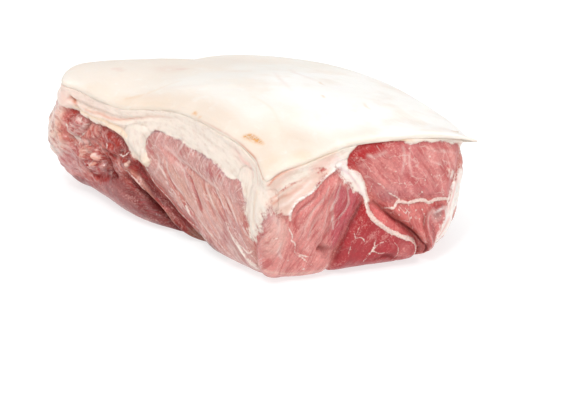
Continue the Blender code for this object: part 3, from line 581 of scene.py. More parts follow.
STAINS = {
    "neck_pale": Stain("-240,10 -217,14 -219,28 -215,44 -236,54", Flesh.NECK_PALE, 0.95, 5),
    # painted light on the neck's left margin, which faces away from the lamps
    "neck_margin_painted_light": Stain("-244,8 -221,14 -225,30 -220,48 -244,60", Touch.WHITE, 0.4, 5),
    "neck_red": Stain("-218,15 -204,15 -208,22 -216,24", Touch.RED, 0.7, 4),
    "neck_orange": Stain("-203,45 -193,34.5 -186,36.5 -188,40 -197,46", Touch.SALMON, 0.85, 2.5),
    "neck_low_red": Stain("-196,44 -180,42 -170,47 -174,56 -192,56", Touch.RED, 1.0, 4),
    "neck_corner": Stain("-178,17 -166,17 -156,19 -148,29 -154,33 -164,26", Touch.MAROON, 0.45, 4),
    # painted shade in the hollow round the neck's hole and in its slot
    "neck_hollow_shade": Stain("-178,36 -168,34 -158,40 -152,47 -162,50 -174,47", Touch.MAROON, 0.5, 4),
    "neck_slot_shade": Stain("-173,46 -167,44.6 -161,47.5 -166,50", Touch.MAROON, 1.0, 1.5),
    "neck_under": Stain("-190,33 -176,31 -164,33 -170,40 -186,42", Touch.RED, 0.45, 4),
    "neck_grey": Stain("-222,44 -206,40 -200,50 -204,60 -220,62", Touch.LILAC, 0.4, 8),
    "membrane_low": Stain("-216,74 -180,68 -150,72 -130,84 -150,110", Flesh.MEMBRANE, 0.5, 10),
    "membrane_red": Stain("-206,64 -190,60 -172,58 -170,66 -196,70", Touch.RED, 0.35, 6),
    # painted shade in the deep cleft and in the furrow beside the strip of muscle
    "membrane_cleft_shade": Stain("-152,52 -140,57 -122,72 -106,86 -120,86 -140,68", Touch.MAROON, 0.55, 6),
    "recess": Stain(
        "-142,36 -134,41 -128.5,47 -125,52 -118,57 -108,60.5 -100,66 -92,72 -86,76 -92,77 -102,71 -112,65 "
        "-120,61 -127,56 -135,50 -141,42",
        Touch.MAROON, 0.9, 2.0,
    ),
    "recess_deep": Stain(
        "-150,46 -140,53 -132,57 -124,64 -115,70 -106,77 -98,84 -104,88 -114,80 -122,72 -130,66 -136,60 "
        "-146,53",
        Touch.MAROON, 0.95, 4.0,
    ),
    "strip_deep": Stain(
        "-150,40 -140,44 -130,51 -120,58 -108,68 -96,77 -90,84 -98,84 -110,74 -122,66 -134,58 -146,50",
        Touch.MAROON, 0.45, 3,
    ),
    "strip_low": Stain("-122,58 -112,65 -100,73 -88,82 -94,88 -108,76 -120,66", Touch.MAROON, 0.7, 5),
    "silver_top": Stain("-132,16 -100,15 -60,18 -26,20 -20,34 -40,32 -80,28 -118,22", Touch.PLUM, 0.75, 6),
    "silver_left": Stain("-136,26 -130,16 -118,16 -112,30 -116,40 -128,42", Touch.PLUM, 0.5, 6),
    "silver_pillow_a": Stain("-104,36 -92,36 -82,42 -76,52 -86,54 -98,46", Touch.SALMON, 0.55, 5),
    "silver_pillow_b": Stain("-78,36 -66,36 -60,46 -56,56 -66,54", Touch.SALMON, 0.55, 5),
    "silver_pillow_c": Stain("-62,36 -52,37 -46,46 -42,54 -54,50", Touch.SALMON, 0.6, 5),
    "silver_pillow_d": Stain("-116,24 -96,30 -80,33 -90,34 -108,32", Touch.ROSE, 0.4, 4),
    "silver_low": Stain("-40,44 -22,42 -12,56 -10,84 -40,88 -56,72 -48,62", Touch.PLUM, 0.6, 9),
    "silver_blotch": Stain("-47,62 -40,59 -36,64 -42,67", Touch.RED, 0.4, 2.5),
    "silver_blotch_low": Stain("-28,66 -21,68 -18,74 -26,73", Touch.RED, 0.4, 3),
    "foot_brown": Stain("-93,77 -86,75 -72,73 -60,73 -52,77 -58,92 -94,92", Touch.BROWN, 0.95, 2),
    "foot_dark": Stain("-84,77 -70,75.5 -58,76 -62,80 -80,81", Touch.MAROON, 0.5, 2),
    "fillet_low": Stain("-6,58 30,66 44,72 40,100 -8,100", Touch.ROSE, 0.4, 8),
    "fillet_pale": Stain("0,26 8,20 14,32 12,44 4,50 -2,42", Touch.PINK_FAT, 0.45, 5),
    "fillet_corner": Stain("1,12 6,14 2,24 -2,36 -4,34", Touch.MAUVE, 0.4, 3),
    "dark_lobe": Stain("49,22 54,25 56,32 53,37.5 46,42 45,37 45.5,28", Flesh.LOBE, 1.0, 1.5),
    "fillet_margin": Stain("30,21 34,17 44,14 54,16 48,20 38,21.5 30,24", Touch.ROSE, 0.5, 3),
    "fillet_right": Stain("57,24 66,33 62,42 52,54 45,62 41,50 46,42 54,37", Flesh.LOBE, 1.0, 3),
    "fillet_top": Stain("22,24 34,18 46,15 44,24 38,32 28,34 20,32", Touch.PINK, 0.4, 4),
    # painted shade in the hole in the fillet
    "fillet_hole": Stain("35,57 41,57 43,62 38,65", Touch.MAROON, 0.5, 3),
    "wedge_bright": Stain("67,40 73,49 72,56 66,56 63,48", Touch.CRIMSON, 0.45, 5),
    "wedge_low": Stain("50,78 80,82 106,82 104,100 48,100", Flesh.MEMBRANE, 0.2, 8),
    "wedge_tip": Stain("92,66 100,70 102,78 92,82 90,74", Touch.ROSE, 0.35, 4),
    "seam_pink": Stain(
        "71,40 80,47 92,58 104,67 112,76 109,81 106,74 101,67 90,60 80,53 73,46", Touch.PINK, 1.0, 1.5
    ),
    "cap_dark": Stain("66,6 78,3 92,4 86,18 76,20 68,12", Touch.RED, 0.3, 6),
    "cap_pale": Stain("66,12 76,8 86,12 91,26 87,36 76,28", Flesh.CAP_PALE, 0.8, 8),
    "cap_grey": Stain("84,30 92,34 90,40 84,40 78,36", Touch.MAUVE, 0.2, 3),
    "cap_crimson": Stain("55,13 57,1 66,-4 104,-4 100,1.5 88,3.0 78,6 70,9 62,14", Touch.CRIMSON, 0.9, 3),
    "cap_right": Stain("106,4 132,6 136,20 122,34 106,26", Flesh.CAP_PALE, 0.6, 8),
    "flap_glint": Stain("115,49 122,47 130,47 127,53 119,56", Touch.THREAD, 0.3, 2.5),
    "flap_maroon": Stain("119,44.5 127,44 126,49 119,52", Touch.MAROON, 0.5, 2),
    "flap_red": Stain("116,44 124,43 122,46 116,47", Touch.CRIMSON, 0.4, 2),
    "back_blush": Stain("170,18 196,22 200,40 176,48 156,40", Touch.ROSE, 0.5, 12),
    "back_deep": Stain("240,62 268,50 292,40 290,54 262,70", Touch.RED, 0.4, 12),
    "end_seam": Stain("-378,6 -358,8 -352,30 -358,56 -378,58", Flesh.BACK, 1.0, 14),
    "end_blush": Stain("-286,24 -258,22 -240,34 -252,48 -280,44", Touch.ROSE, 0.5, 10),
}

STROKES = (
    # where the silver skin meets the fat
    Stroke(COMB_LINE, Touch.MAUVE, 1.0, (0.7, 0.6, 0.8)),
    # folds of the silver skin: painted shade, dark red, in each furrow, and a pale line on its lip that is
    # partly its threads and partly painted highlight
    Stroke(
        "-116,23.5 -107,26.5 -100,28.5 -92,30.5 -79,31.5 -69,32.5 -60,33", Touch.RED, 0.8, (0.3, 0.7, 0.4)
    ),
    Stroke("-112,22 -100,26 -90,28 -76,29.5 -64,31 -48,32.5", Touch.THREAD, 0.9, (0.3, 0.6, 0.4)),
    Stroke("-109,32 -106,40 -101,45 -94,49 -88,53 -80,58 -70,63 -60,67", Touch.THREAD, 0.9, (0.8, 0.7, 0.7)),
    Stroke("-107,43 -101,48 -94,52 -88,56 -80,62 -70,67", Touch.RED, 1.4, (0.2, 0.4, 0.3)),
    Stroke("-98,30 -93,32 -88,34 -85,38 -80,45", Touch.THREAD, 0.8, (0.54, 1.0, 0.41)),
    Stroke("-84,35 -78,38 -74,43 -71,48 -67,54", Touch.RED, 1.5, (0.41, 0.94, 0.81)),
    Stroke("-80,35 -75,39 -71,44 -67,50", Touch.THREAD, 0.7, (0.41, 0.81, 0.41)),
    Stroke("-64,34 -61,40 -56,47 -50,54", Touch.RED, 1.2, (0.27, 0.68, 0.27)),
    Stroke("-61,34 -57,40 -52,46 -46,53", Touch.THREAD, 0.9, (0.41, 0.81, 0.41)),
    Stroke("-53,34 -48,38 -43,43 -38,50", Touch.RED, 1.1, (0.27, 0.68, 0.27)),
    Stroke("-50,34 -45,38 -40,43 -35,49", Touch.THREAD, 0.9, (0.41, 0.81, 0.54)),
    Stroke("-42,35 -37,39 -32,44 -29,50", Touch.RED, 1.1, (0.27, 0.68, 0.27)),
    Stroke("-38,34 -33,38 -28,43 -24,50", Touch.THREAD, 0.9, (0.41, 0.81, 0.54)),
    Stroke("-119,28 -117,33 -118,38 -122,42", Touch.THREAD, 1.1, (0.3, 0.6, 0.3)),
    Stroke("-116,36 -111,40 -108,46 -104,54 -99,60", Touch.THREAD, 0.8, (0.81, 0.81, 0.41)),
    Stroke("-112,30 -113,36 -110,42", Touch.THREAD, 0.8, (0.41, 0.68, 0.41)),
    # the foot of the long side
    Stroke("-124,45 -114,51 -102,58 -92,63 -78,68", Touch.RED, 3.2, (0.4, 0.6, 0.5)),
    Stroke("-76,68 -62,73 -50,79 -40,86", Touch.RED, 2.6, (0.54, 0.68, 0.68)),
    Stroke("-34,58 -26,60 -18,63 -10,68 -6,74", Touch.WHITE, 1.4, (0.5, 0.7, 0.4)),
    Stroke("-50,58 -38,64 -28,70 -18,78", Touch.THREAD, 1.6, (0.3, 0.5, 0.3)),
    # the strip of muscle, and painted shade in the furrow along its side
    Stroke("-148,38 -140,45 -132,53 -123,60 -114,66 -104,74", Touch.SALMON, 1.1, (0.6, 0.45, 0.3)),
    Stroke("-135,38 -130,44 -122,52 -112,58 -104,64", Touch.MAROON, 1.0, (0.7, 0.5, 0.3)),
    # the neck end
    Stroke("-192,17 -180,18 -168,17 -160,19 -154,23 -148,31 -142,37", Touch.MAROON, 1.2, (0.3, 0.7, 0.9)),
    Stroke("-216,25 -209,29 -203,33 -198,33 -190,31", Touch.THREAD, 1.6, (0.4, 0.7, 0.4)),
    Stroke("-206,17 -199,18 -193,18 -196,22 -201,25", Touch.THREAD, 1.0, (0.5, 0.6, 0.3)),
    Stroke("-187,29 -180,32 -172,33", Touch.THREAD, 1.0, (0.2, 0.5, 0.2)),
    Stroke("-219,38 -210,44 -203,52", Touch.THREAD, 2.2, (0.3, 0.5, 0.2)),
    Stroke("-214,36 -205,40 -198,46", Touch.RED, 1.6, (0.2, 0.4, 0.2)),
    Stroke("-203,24 -199,22 -196,25", Touch.RED, 1.4, (0.2, 0.4, 0.2)),
    # splits in the fillet: pale threads, then painted shade in the furrows
    Stroke("51,22 47,29 44,34 44,42 44,48", Touch.THREAD, 0.58, (0.5, 0.8, 0.6)),
    Stroke("56,26 56,36 51,40.5 45,44", Touch.THREAD, 0.5, (0.5, 0.8, 0.5)),
    Stroke("42,20 39,25 34,29 29,33 26,39 22,46", Touch.THREAD, 0.65, (0.5, 0.7, 0.3)),
    Stroke("35,21 31,25 24,28 19,31", Touch.THREAD, 0.58, (0.4, 0.6, 0.3)),
    Stroke("44,42 42,46 39,50 35,55", Touch.THREAD, 0.58, (0.5, 0.6, 0.3)),
    Stroke("36,34 31,39 29,43 27,49", Touch.THREAD, 0.58, (0.2, 0.6, 0.3)),
    Stroke("47,20 43,27 40,34 38,42 34,50", Touch.THREAD, 0.5, (0.3, 0.5, 0.2)),
    Stroke("44,21 41,26 37,31 33,36 30,42", Touch.RED, 1.2, (0.4, 0.5, 0.2)),
    Stroke("38,19 33,23 26,26 20,30 19,36", Touch.RED, 1.2, (0.3, 0.5, 0.3)),
    Stroke("42,44 40,49 37,53 34,58", Touch.RED, 1.2, (0.4, 0.5, 0.4)),
    Stroke("20,47 22,54 27,59 33,62", Touch.RED, 1.4, (0.2, 0.4, 0.3)),
    # white marks on the fillet, and its lip
    Stroke("7,43 5,48 8,54", Touch.WHITE, 0.9, (0.2, 0.5, 0.2)),
    Stroke("3,24 6,28 5,34", Touch.WHITE, 1.6, (0.2, 0.45, 0.2)),
    Stroke("28,5 31,6 33,8", Touch.WHITE, 1.4, (0.5, 0.9, 0.4)),
    Stroke("-9,56 -4,58 1,61 12,68 26,73 36,75 42,72", Touch.PINK_FAT, 1.2, (0.7, 0.6, 0.5)),
    Stroke("-9,62 -3,66 8,73 24,79 38,80", Touch.BROWN, 1.6, (0.7, 0.4, 0.4)),
    # painted shade in the gap beside the wedge, and the cap
    Stroke("66,38 61,45 56,52 51,60 48,70", Touch.MAROON, 0.7, (0.8, 0.8, 0.5)),
    Stroke("70,8 76,9 82,7", Touch.THREAD, 1.1, (0.6, 0.6, 0.3)),
    Stroke("93,5 94,12 92,22", Touch.THREAD, 0.9, (0.3, 0.5, 0.2)),
    Stroke("98,5 97,14 99,24", Touch.THREAD, 0.8, (0.2, 0.5, 0.2)),
    Stroke("106,5 116,8 126,9 134,10", Touch.THREAD, 1.0, (0.2, 0.4, 0.2)),
    Stroke("110,14 120,17 130,16", Touch.THREAD, 1.0, (0.2, 0.35, 0.2)),
    Stroke("100,12 108,18 116,26 122,32", Touch.RED, 1.4, (0.2, 0.35, 0.2)),
    Stroke("78,14 84,20 92,25", Touch.RED, 1.6, (0.2, 0.35, 0.2)),
    # the flap with a painted highlight, the rear of the cut face, and painted shade in the notch in the wedge
    Stroke("116,56 119,61 120,68", Touch.MAROON, 1.6, (0.2, 0.5, 0.3)),
    Stroke("121,45 126,48 127,52", Touch.CRIMSON, 1.4, (0.5, 0.6, 0.3)),
    Stroke("118,47 114,50 113,56 115,62 118,68 119,74", Touch.THREAD, 0.7, (0.5, 0.45, 0.0)),
    Stroke("118,49 123,47 129,46", Touch.WHITE, 0.9, (0.3, 0.8, 0.4)),
    Stroke("119,74 123,66 128,56 131,48", Touch.THREAD, 1.2, (0.5, 0.6, 0.5)),
    Stroke("76,78 82,76 90,80", Touch.MAROON, 1.6, (0.3, 0.6, 0.3)),
)

# Tints of the fat: where it is pinker or darker than cream.
FAT_STAINS = {
    "side_left": Stain("-232,-4 -200,-4 -160,8 -152,16 -190,16 -232,14", Touch.PINK_FAT, 0.2, 6),
    "left_curl": Stain("-226,3 -216,5 -213,10 -222,13", Touch.ROSE, 0.2, 4),
    "under_rind": Stain("-226,0 -170,0 -120,0 -120,4 -160,5 -200,7", Touch.PINK_FAT, 0.1, 4),
    "cut_rust": Stain("1,0 14,-1 22,1 14,6 3,10", Touch.SALMON, 0.4, 3),
    "cut_pink": Stain("30,4 46,1 50,8 42,12 33,9", Touch.PINK_FAT, 0.7, 4),
    "fillet_strip": Stain(
        "1,13 7,12 15,12 24,10.5 31,8 44,12.5 34,17 26,21 16,30 6,24", Touch.SALMON, 0.42, 3
    ),
    "fork_blush": Stain("49,4 54,6 56,15 50,16", Touch.LILAC, 0.35, 3),
    "fork_white": Stain("42,8 53,6 59,14 66,22 71,37 64,32 55,22 50,14", Touch.WHITE, 0.6, 3),
    "fork_low": Stain("58,20 64,24 66,31 60,28", Touch.CREAM, 0.6, 4),
    "corner_top": Stain("-44,3 -26,4 -18,10 -30,12 -42,8", Touch.PINK_FAT, 0.25, 4),
    "tongue_tip": Stain("-136,30 -126,30 -124,38 -134,39", Touch.STRAW, 0.35, 4),
    "far_edge": Stain("124,24 150,16 152,60 128,86 116,80", Touch.WHITE, 0.8, 6),
    "far_fleck": Stain("126,19 134,20 138,27 130,28", Touch.SALMON, 0.45, 2),
    "crumb_right": Stain("-151,32 -142,32 -142,40 -151,40", Touch.SALMON, 0.6, 3),
    "crumb_high": Stain("-189,34 -175,34 -175,44 -189,44", Touch.SALMON, 0.85, 3),
    "crumb_low": Stain("-192,41 -177,41 -177,51 -192,51", Touch.SALMON, 1.0, 3),
    "back": Stain("146,4 440,4 440,16 146,16", Touch.PINK_FAT, 0.35, 5),
    "end": Stain("-368,4 -230,4 -230,14 -368,16", Touch.PINK_FAT, 0.45, 5),
}

FAT_STROKES = (
    # cracks and shelves over the long side
    Stroke(
        "-196,10.5 -189,10 -179,9 -171,9 -161,8 -153,7 -143,6 -130,5 -112,4.5",
        Touch.RUST, 0.7, (0.4, 0.55, 0.15),
    ),
    Stroke("-214,7 -211,9 -207,10.5", Touch.RUST, 1.1, (0.7, 0.8, 0.4)),
    Stroke("-209,12 -190,13 -172,12 -160,13 -152,18", Touch.STRAW, 0.9, (0.5, 0.7, 0.5)),
    Stroke("-180,15 -168,14 -158,16 -150,23", Touch.STRAW, 0.8, (0.3, 0.6, 0.3)),
    # the line under the rind's edge, round the near corner
    Stroke(
        "-84,-1.3 -60,-1.5 -44,-1.6 -30,-1.5 -20,-1.8 -12,-1.4 -6,-1.2 -3,0",
        Touch.RUST, 0.6, (0.1, 0.8, 0.85),
    ),
    Stroke("-34,1 -24,1.5 -16,3 -11,5.5 -9,8", Touch.RUST, 0.5, (0.0, 0.35, 0.3)),
    Stroke("-38,5 -30,7 -24,6 -18,9", Touch.ROSE, 1.0, (0.2, 0.4, 0.2)),
    Stroke("1,3 4,0.6 13,0.2 24,0", Touch.RUST, 0.6, (0.7, 1.0, 0.4)),
    Stroke("24,0 36,0 50,0.4", Touch.STRAW, 0.8, (0.5, 0.6, 0.3)),
    Stroke("84,0.5 94,1.0 100,1.4", Touch.OCHRE, 0.6, (0.3, 0.5, 0.2)),
    Stroke("-6,10 -8,22 -8,34", Touch.STRAW, 1.4, (0.2, 0.35, 0.2)),
    # the membrane along the far edge of the cut face
    Stroke("141,24 138,32 136,42 133,50", Touch.ROSE, 1.2, (0.3, 0.6, 0.3)),
    Stroke("136,54 132,62 128,70 124,77", Touch.ROSE, 1.5, (0.4, 0.6, 0.5)),
    Stroke("134,36 132,48 129,58 125,68", Touch.PINK_FAT, 1.0, (0.5, 0.7, 0.5)),
    # the crumbs of fat in the neck: a painted highlight on each, and painted shade under the upper one
    Stroke("-185,37.8 -181.5,37 -178.5,37.6", Touch.WHITE, 0.5, (0.2, 0.6, 0.2)),
    Stroke("-187,45.4 -184,43.6", Touch.BRIGHT, 0.6, (0.2, 0.6, 0.3)),
    Stroke("-187,40.6 -182,42 -177,40", Touch.ROSE, 1.0, (0.5, 0.8, 0.5)),
    # the fork of fat and the strip round the fillet
    Stroke("50,11 57,17 62,24 67,33", Touch.LILAC, 0.9, (0.4, 0.6, 0.3)),
    Stroke("54,9 61,16 66,24", Touch.LILAC, 0.8, (0.3, 0.5, 0.2)),
    Stroke("3,15 9,15 16,16 24,14", Touch.RUST, 1.2, (0.5, 0.45, 0.2)),
    Stroke("2,12 7,11.5 14,11.3 21,9.8 27,9", Touch.RUST, 0.7, (0.5, 0.4, 0.2)),
    Stroke("8,20 14,21 22,17 30,13", Touch.WHITE, 1.2, (0.3, 0.5, 0.4)),
    Stroke("15.5,29 18.5,25 21,22 26,20.4 32,19 35,16 40,14 49,12", Touch.BRIGHT, 1.1, (0.9, 0.9, 0.8)),
)

# Under the joint, as plan lines in x and y, where its muscles meet.
UNDER_CREASES = {
    "under_long": Crease("-70,-50 -40,-20 -4,4 40,14 84,10 112,22", (1, 6, 3), 7.5),
    "under_end": Crease("-132,-6 -100,8 -66,12 -34,34 -10,62 -4,88", (3, 5, 1), 7.5),
    "under_cut": Crease("66,-54 58,-24 44,8 52,46 74,78", (3, 4, 1), 6),
    "under_small": Crease("-100,10 -84,40 -80,66", (3, 3, 1), 6),
}

# On the rind, as plan lines in x and y: a shallow valley and the soft folds beside it.
RIND_CREASES = {
    "valley": Crease("-60,-66 -48,-20 -18,40 20,84", (-1.4, -1.6, -0.4), 18.0),
    "fold": Crease("-44,-56 -10,-36 24,-6", (0.3, 0.7, 0), 6.0),
    "hump": Crease("-118,-40 -112,0 -96,44", (0.4, 1.0, 0.4), 16.0),
}

RIND_STAINS = {
    "left": Stain("-150,-60 -70,-72 -50,-20 -70,60 -140,40", Touch.CREAM, 0.55, 30),
    "right": Stain("10,-10 60,-20 116,-6 150,50 110,90 20,110 -20,60", Touch.BRIGHT, 0.9, 30),
    "front": Stain("-70,-76 30,-76 70,-72 50,-54 -50,-54", Touch.CREAM, 1.0, 14),
    "near_corner": Stain("56,-80 102,-84 110,-46 92,-32 62,-46", Touch.WARM, 1.0, 20),
    "cut_edge": Stain("96,-60 112,-24 120,0 106,0 96,-30", Touch.CREAM, 0.5, 12),
    "near_ridge": Stain("84,-68 95,-72 98,-60 88,-56", Touch.STRAW, 0.35, 8),
    "faint": Stain("94,-54 102,-56 103,-46 96,-46", Touch.STRAW, 0.5, 6),
    "edge": Stain("-100,-74 -62,-72 -20,-68 -20,-60 -60,-63 -100,-64", Touch.STRAW, 0.22, 8),
    "scab": Stain("61,-64.5 62.5,-60 68,-58 73.5,-58.5 71.5,-61 65,-64", Touch.OCHRE, 0.55, 3),
    "blotch_a": Stain("-107,-40 -103,-37 -101,-40 -105,-42", Touch.PINK_FAT, 0.4, 4),
    "blotch_b": Stain("-100,-42 -96,-41 -97,-38 -100,-39", Touch.PINK_FAT, 0.3, 4),
    "blotch_c": Stain("-83,-24 -70,-26 -64,-18 -74,-8 -84,-12", Touch.PINK_FAT, 0.2, 10),
    "blotch_d": Stain("-69,-15 -64,-15 -63,-11 -67,-10", Touch.PINK_FAT, 0.4, 4),
    "far_tag": Stain("126,36 146,50 140,58 124,50", Touch.CREAM, 0.4, 8),
}

RIND_STROKES = (
    # the fold beside the valley
    Stroke("-60,-64 -50,-58 -46,-52 -40,-36", Touch.STRAW, 1.6, (0.4, 0.4, 0.1)),
    Stroke("-44,-48 -30,-44 -14,-38", Touch.PINK_FAT, 2.2, (0.1, 0.15, 0.05)),
    # dried ticks and marks
    Stroke("7,-63 9.5,-62 12,-62.5", Touch.OCHRE, 0.8, (0.4, 0.9, 0.5)),
    Stroke("15,-64 18,-63.5", Touch.OCHRE, 0.6, (0.3, 0.6, 0.3)),
    Stroke("22,32 26,29 30,28", Touch.STRAW, 1.0, (0.3, 0.7, 0.3)),
    Stroke("52,8 56,6", Touch.STRAW, 0.9, (0.4, 0.7, 0.4)),
    Stroke("74,24 79,21 84,20", Touch.STRAW, 1.0, (0.2, 0.5, 0.2)),
    # scratches
    Stroke("-10,20 10,8 36,-4", Touch.PINK_FAT, 1.6, (0.1, 0.25, 0.1)),
    Stroke("-30,50 -6,36 20,30", Touch.PINK_FAT, 2.0, (0.1, 0.25, 0.1)),
    Stroke("30,-30 52,-34 74,-44", Touch.STRAW, 1.2, (0.1, 0.2, 0.1)),
)


# ---- measuring places


def read(places: Places) -> np.ndarray:
    """Read written places as rows of two numbers."""
    return np.array([[float(part) for part in place.split(",")] for place in places.split()])


def spline(points: list[tuple[float, ...]] | Places, closed: bool, steps: int = SPLINE_STEPS) -> np.ndarray:
    """Draw a centripetal Catmull-Rom curve through rows of numbers.

    Args:
        points: The rows, or written places. Their first three numbers, or two, are a place.
        closed: Whether the curve comes round to its start.
        steps: How many rows to make of each span.

    Returns:
        The rows along the curve.
    """
    points = read(points) if isinstance(points, Places) else np.array(points, float)
    if closed:
        ring = np.vstack([points[-1:], points, points[:2]])
    else:
        ring = np.vstack([2 * points[:1] - points[1:2], points, 2 * points[-1:] - points[-2:-1]])
    rows = []
    for four in zip(ring, ring[1:], ring[2:], ring[3:]):
        gaps = [np.linalg.norm((b - a)[:3]) ** 0.5 for a, b in zip(four, four[1:])]
        knots = np.concatenate([[0], np.cumsum(gaps)])
        t = np.linspace(knots[1], knots[2], steps, endpoint=False)[:, None]
        level = list(four)
        for reach, starts in ((1, (0, 1, 2)), (2, (0, 1)), (1, (1,))):
            level = [
                ((knots[k + reach] - t) * level[i] + (t - knots[k]) * level[i + 1])
                / (knots[k + reach] - knots[k])
                for i, k in enumerate(starts)
            ]
        rows.append(level[0])
    if not closed:
        rows.append(points[-1:])
    return np.concatenate(rows)


def smooth(values: np.ndarray, low: float, high: float) -> np.ndarray:
    """Rise softly from 0 at low to 1 at high."""
    t = np.clip((values - low) / (high - low), 0, 1)
    return t * t * (3 - 2 * t)


def along_line(passed: np.ndarray, three: Three) -> np.ndarray:
    """Read a start, middle and end value off the share of a line that is passed."""
    return np.interp(passed, (0, 0.5, 1), three)


def rough(points: np.ndarray, size: float, octaves: int, seed: int) -> np.ndarray:
    """Smooth seeded noise, between about -1 and 1.

    Args:
        points: Rows of three coordinates in mm.
        size: The length of its largest features in mm.
        octaves: How many layers it has, each half the size and half the height of the last.
        seed: What its random table is drawn from.

    Returns:
        One value for each row.
    """
    side = 32
    table = np.random.default_rng(seed).uniform(-1, 1, (side, side, side))
    total = np.zeros(points.shape[:-1])
    for octave in range(octaves):
        spread = points / size * 2**octave + 7.3 * octave
        cell = np.floor(spread).astype(int)
        t = spread - cell
        t = t * t * (3 - 2 * t)
        for corner in itertools.product((0, 1), repeat=3):
            weight = np.prod(np.where(corner, t, 1 - t), axis=-1)
            place = (cell + corner) % side
            total += weight * table[place[..., 0], place[..., 1], place[..., 2]] / 2**octave
    return total


class Chart:
    """Places on a surface, in two lengths, that outlines and lines are measured against."""

    def __init__(self, across: np.ndarray, down: np.ndarray) -> None:
        """Keep the places.

        Args:
            across: Their first coordinate in mm.
            down: Their second, an array of the same shape.
        """
        self.across = across
        self.down = down

    def _near(self, line: np.ndarray, reach: float) -> np.ndarray:
        """Find the places that lie near a line.

        Args:
            line: Its points, as rows of two.
            reach: How far past the line's box to look, in mm.

        Returns:
            A mask of the places.
        """
        low = line.min(axis=0) - reach
        high = line.max(axis=0) + reach
        beside = (self.across > low[0]) & (self.across < high[0])
        return beside & (self.down > low[1]) & (self.down < high[1])

    def along(self, line: Places, reach: float) -> tuple[np.ndarray, np.ndarray, np.ndarray]:
        """Measure the places against a smooth line through written places, as distance does."""
        return self.distance(spline(line, closed=False, steps=LINE_STEPS), reach)

    def distance(self, line: np.ndarray, reach: float) -> tuple[np.ndarray, np.ndarray, np.ndarray]:
        """Measure the places against a line of points.

        Args:
            line: The points, as rows of two.
            reach: The distance in mm that farther places are given. Where it is a whole
                number, so are the distances.

        Returns:
            Their distances, the share of the line passed at the nearest of its points, and
            1 where they lie to its left and -1 to its right.
        """
        near = self._near(line, reach)
        x, y = self.across[near], self.down[near]
        nearest = np.full(x.shape, reach)
        share = np.zeros(x.shape)
        turned = np.zeros(x.shape)
        for k, (start, end) in enumerate(zip(line, line[1:])):
            step = end - start
            beyond_x, beyond_y = x - start[0], y - start[1]
            t = np.clip((beyond_x * step[0] + beyond_y * step[1]) / (step @ step), 0, 1)
            gap = np.hypot(beyond_x - t * step[0], beyond_y - t * step[1])
            closer = gap < nearest
            share = np.where(closer, (k + t) / (len(line) - 1), share)
            turned = np.where(closer, np.sign(beyond_x * step[1] - beyond_y * step[0]), turned)
            nearest = np.minimum(gap, nearest)
        spread = [np.full(self.across.shape, rest) for rest in (reach, 0.0, 0.0)]
        for everywhere, found in zip(spread, (nearest, share, turned)):
            everywhere[near] = found
        return tuple(spread)

    def depth(self, outline: Places, reach: float = 10.0) -> np.ndarray:
        """Measure how deep the places are inside an outline.

        Args:
            outline: Its points, which a closed curve is drawn through.
            reach: The largest depth and the largest distance outside to tell, in mm.

        Returns:
            The depths: above 0 inside, below 0 outside.
        """
        curve = spline(outline, closed=True, steps=OUTLINE_STEPS)
        closed = np.vstack([curve, curve[:1]])
        away, _, _ = self.distance(closed, reach)
        near = self._near(curve, 0)
        x, y = self.across[near], self.down[near]
        odd = np.zeros(x.shape, bool)
        for (x0, y0), (x1, y1) in zip(closed, closed[1:]):
            if y0 != y1:
                crosses = (y0 > y) != (y1 > y)
                odd ^= crosses & (x < x0 + (y - y0) * (x1 - x0) / (y1 - y0))
        inside = np.zeros(self.across.shape, bool)
        inside[near] = odd
        return np.where(inside, away, -away)

    def swelling(self, muscle: Muscle) -> np.ndarray:
        """How far a muscle stands out at each place."""
        inwards = np.clip(self.depth(muscle.outline, muscle.edge + 1) / muscle.edge, 0, 1)
        return muscle.swell * (1 - (1 - inwards) ** 2)

    def folding(self, crease: Crease) -> np.ndarray:
        """Work out how far a crease raises each place, or lowers it.

        Args:
            crease: The crease.

        Returns:
            The heights in mm.
        """
        away, passed, side = self.along(crease.line, SPREAD * crease.width)
        beside = away / crease.width
        profile = along_line(passed, crease.heights) + crease.lean * side * beside * np.sin(np.pi * passed)
        return profile * np.exp(-(beside**2)) * (beside < CREASE_END)

    def shading(self, crease: Crease) -> np.ndarray:
        """Work out how much painted shade a crease lays on each place.

        Args:
            crease: The crease, which has a furrow.

        Returns:
            The painted shade, 0 to 1.
        """
        away, passed, _ = self.along(crease.line, SPREAD * crease.width)
        deepest = min(crease.heights)
        share = along_line(passed, tuple(height / deepest for height in crease.heights))
        return crease.shade * share**0.5 * np.exp(-((away / crease.width) ** 2))

    def line_depth(self, vein: Vein, reach: float = 4.0) -> np.ndarray:
        """How deep each place is inside a vein's width, in mm, below 0 outside it."""
        away, passed, _ = self.along(vein.line, reach)
        return along_line(passed, vein.widths) - away

    def paint(self, colours: np.ndarray, stains: Iterable[Stain], strokes: Iterable[Stroke]) -> None:
        """Lay stains over colours and then strokes, one after another.

        Args:
            colours: Rows of linear red, green and blue, changed in place.
            stains: The stains.
            strokes: The strokes.
        """
        for stain in stains:
            inwards = self.depth(stain.outline, stain.feather)
            share = stain.strength * smooth(inwards, -stain.feather / 2, stain.feather / 2)
            colours += share[..., None] * (np.array(stain.touch.value) - colours)
        for stroke in strokes:
            away, passed, _ = self.along(stroke.line, SPREAD * stroke.width)
            share = along_line(passed, stroke.strength) * np.exp(-((away / stroke.width) ** 2))
            share = np.where(away < STROKE_END * stroke.width, share, 0)
            colours += share[..., None] * (np.array(stroke.touch.value) - colours)


# ---- the loft


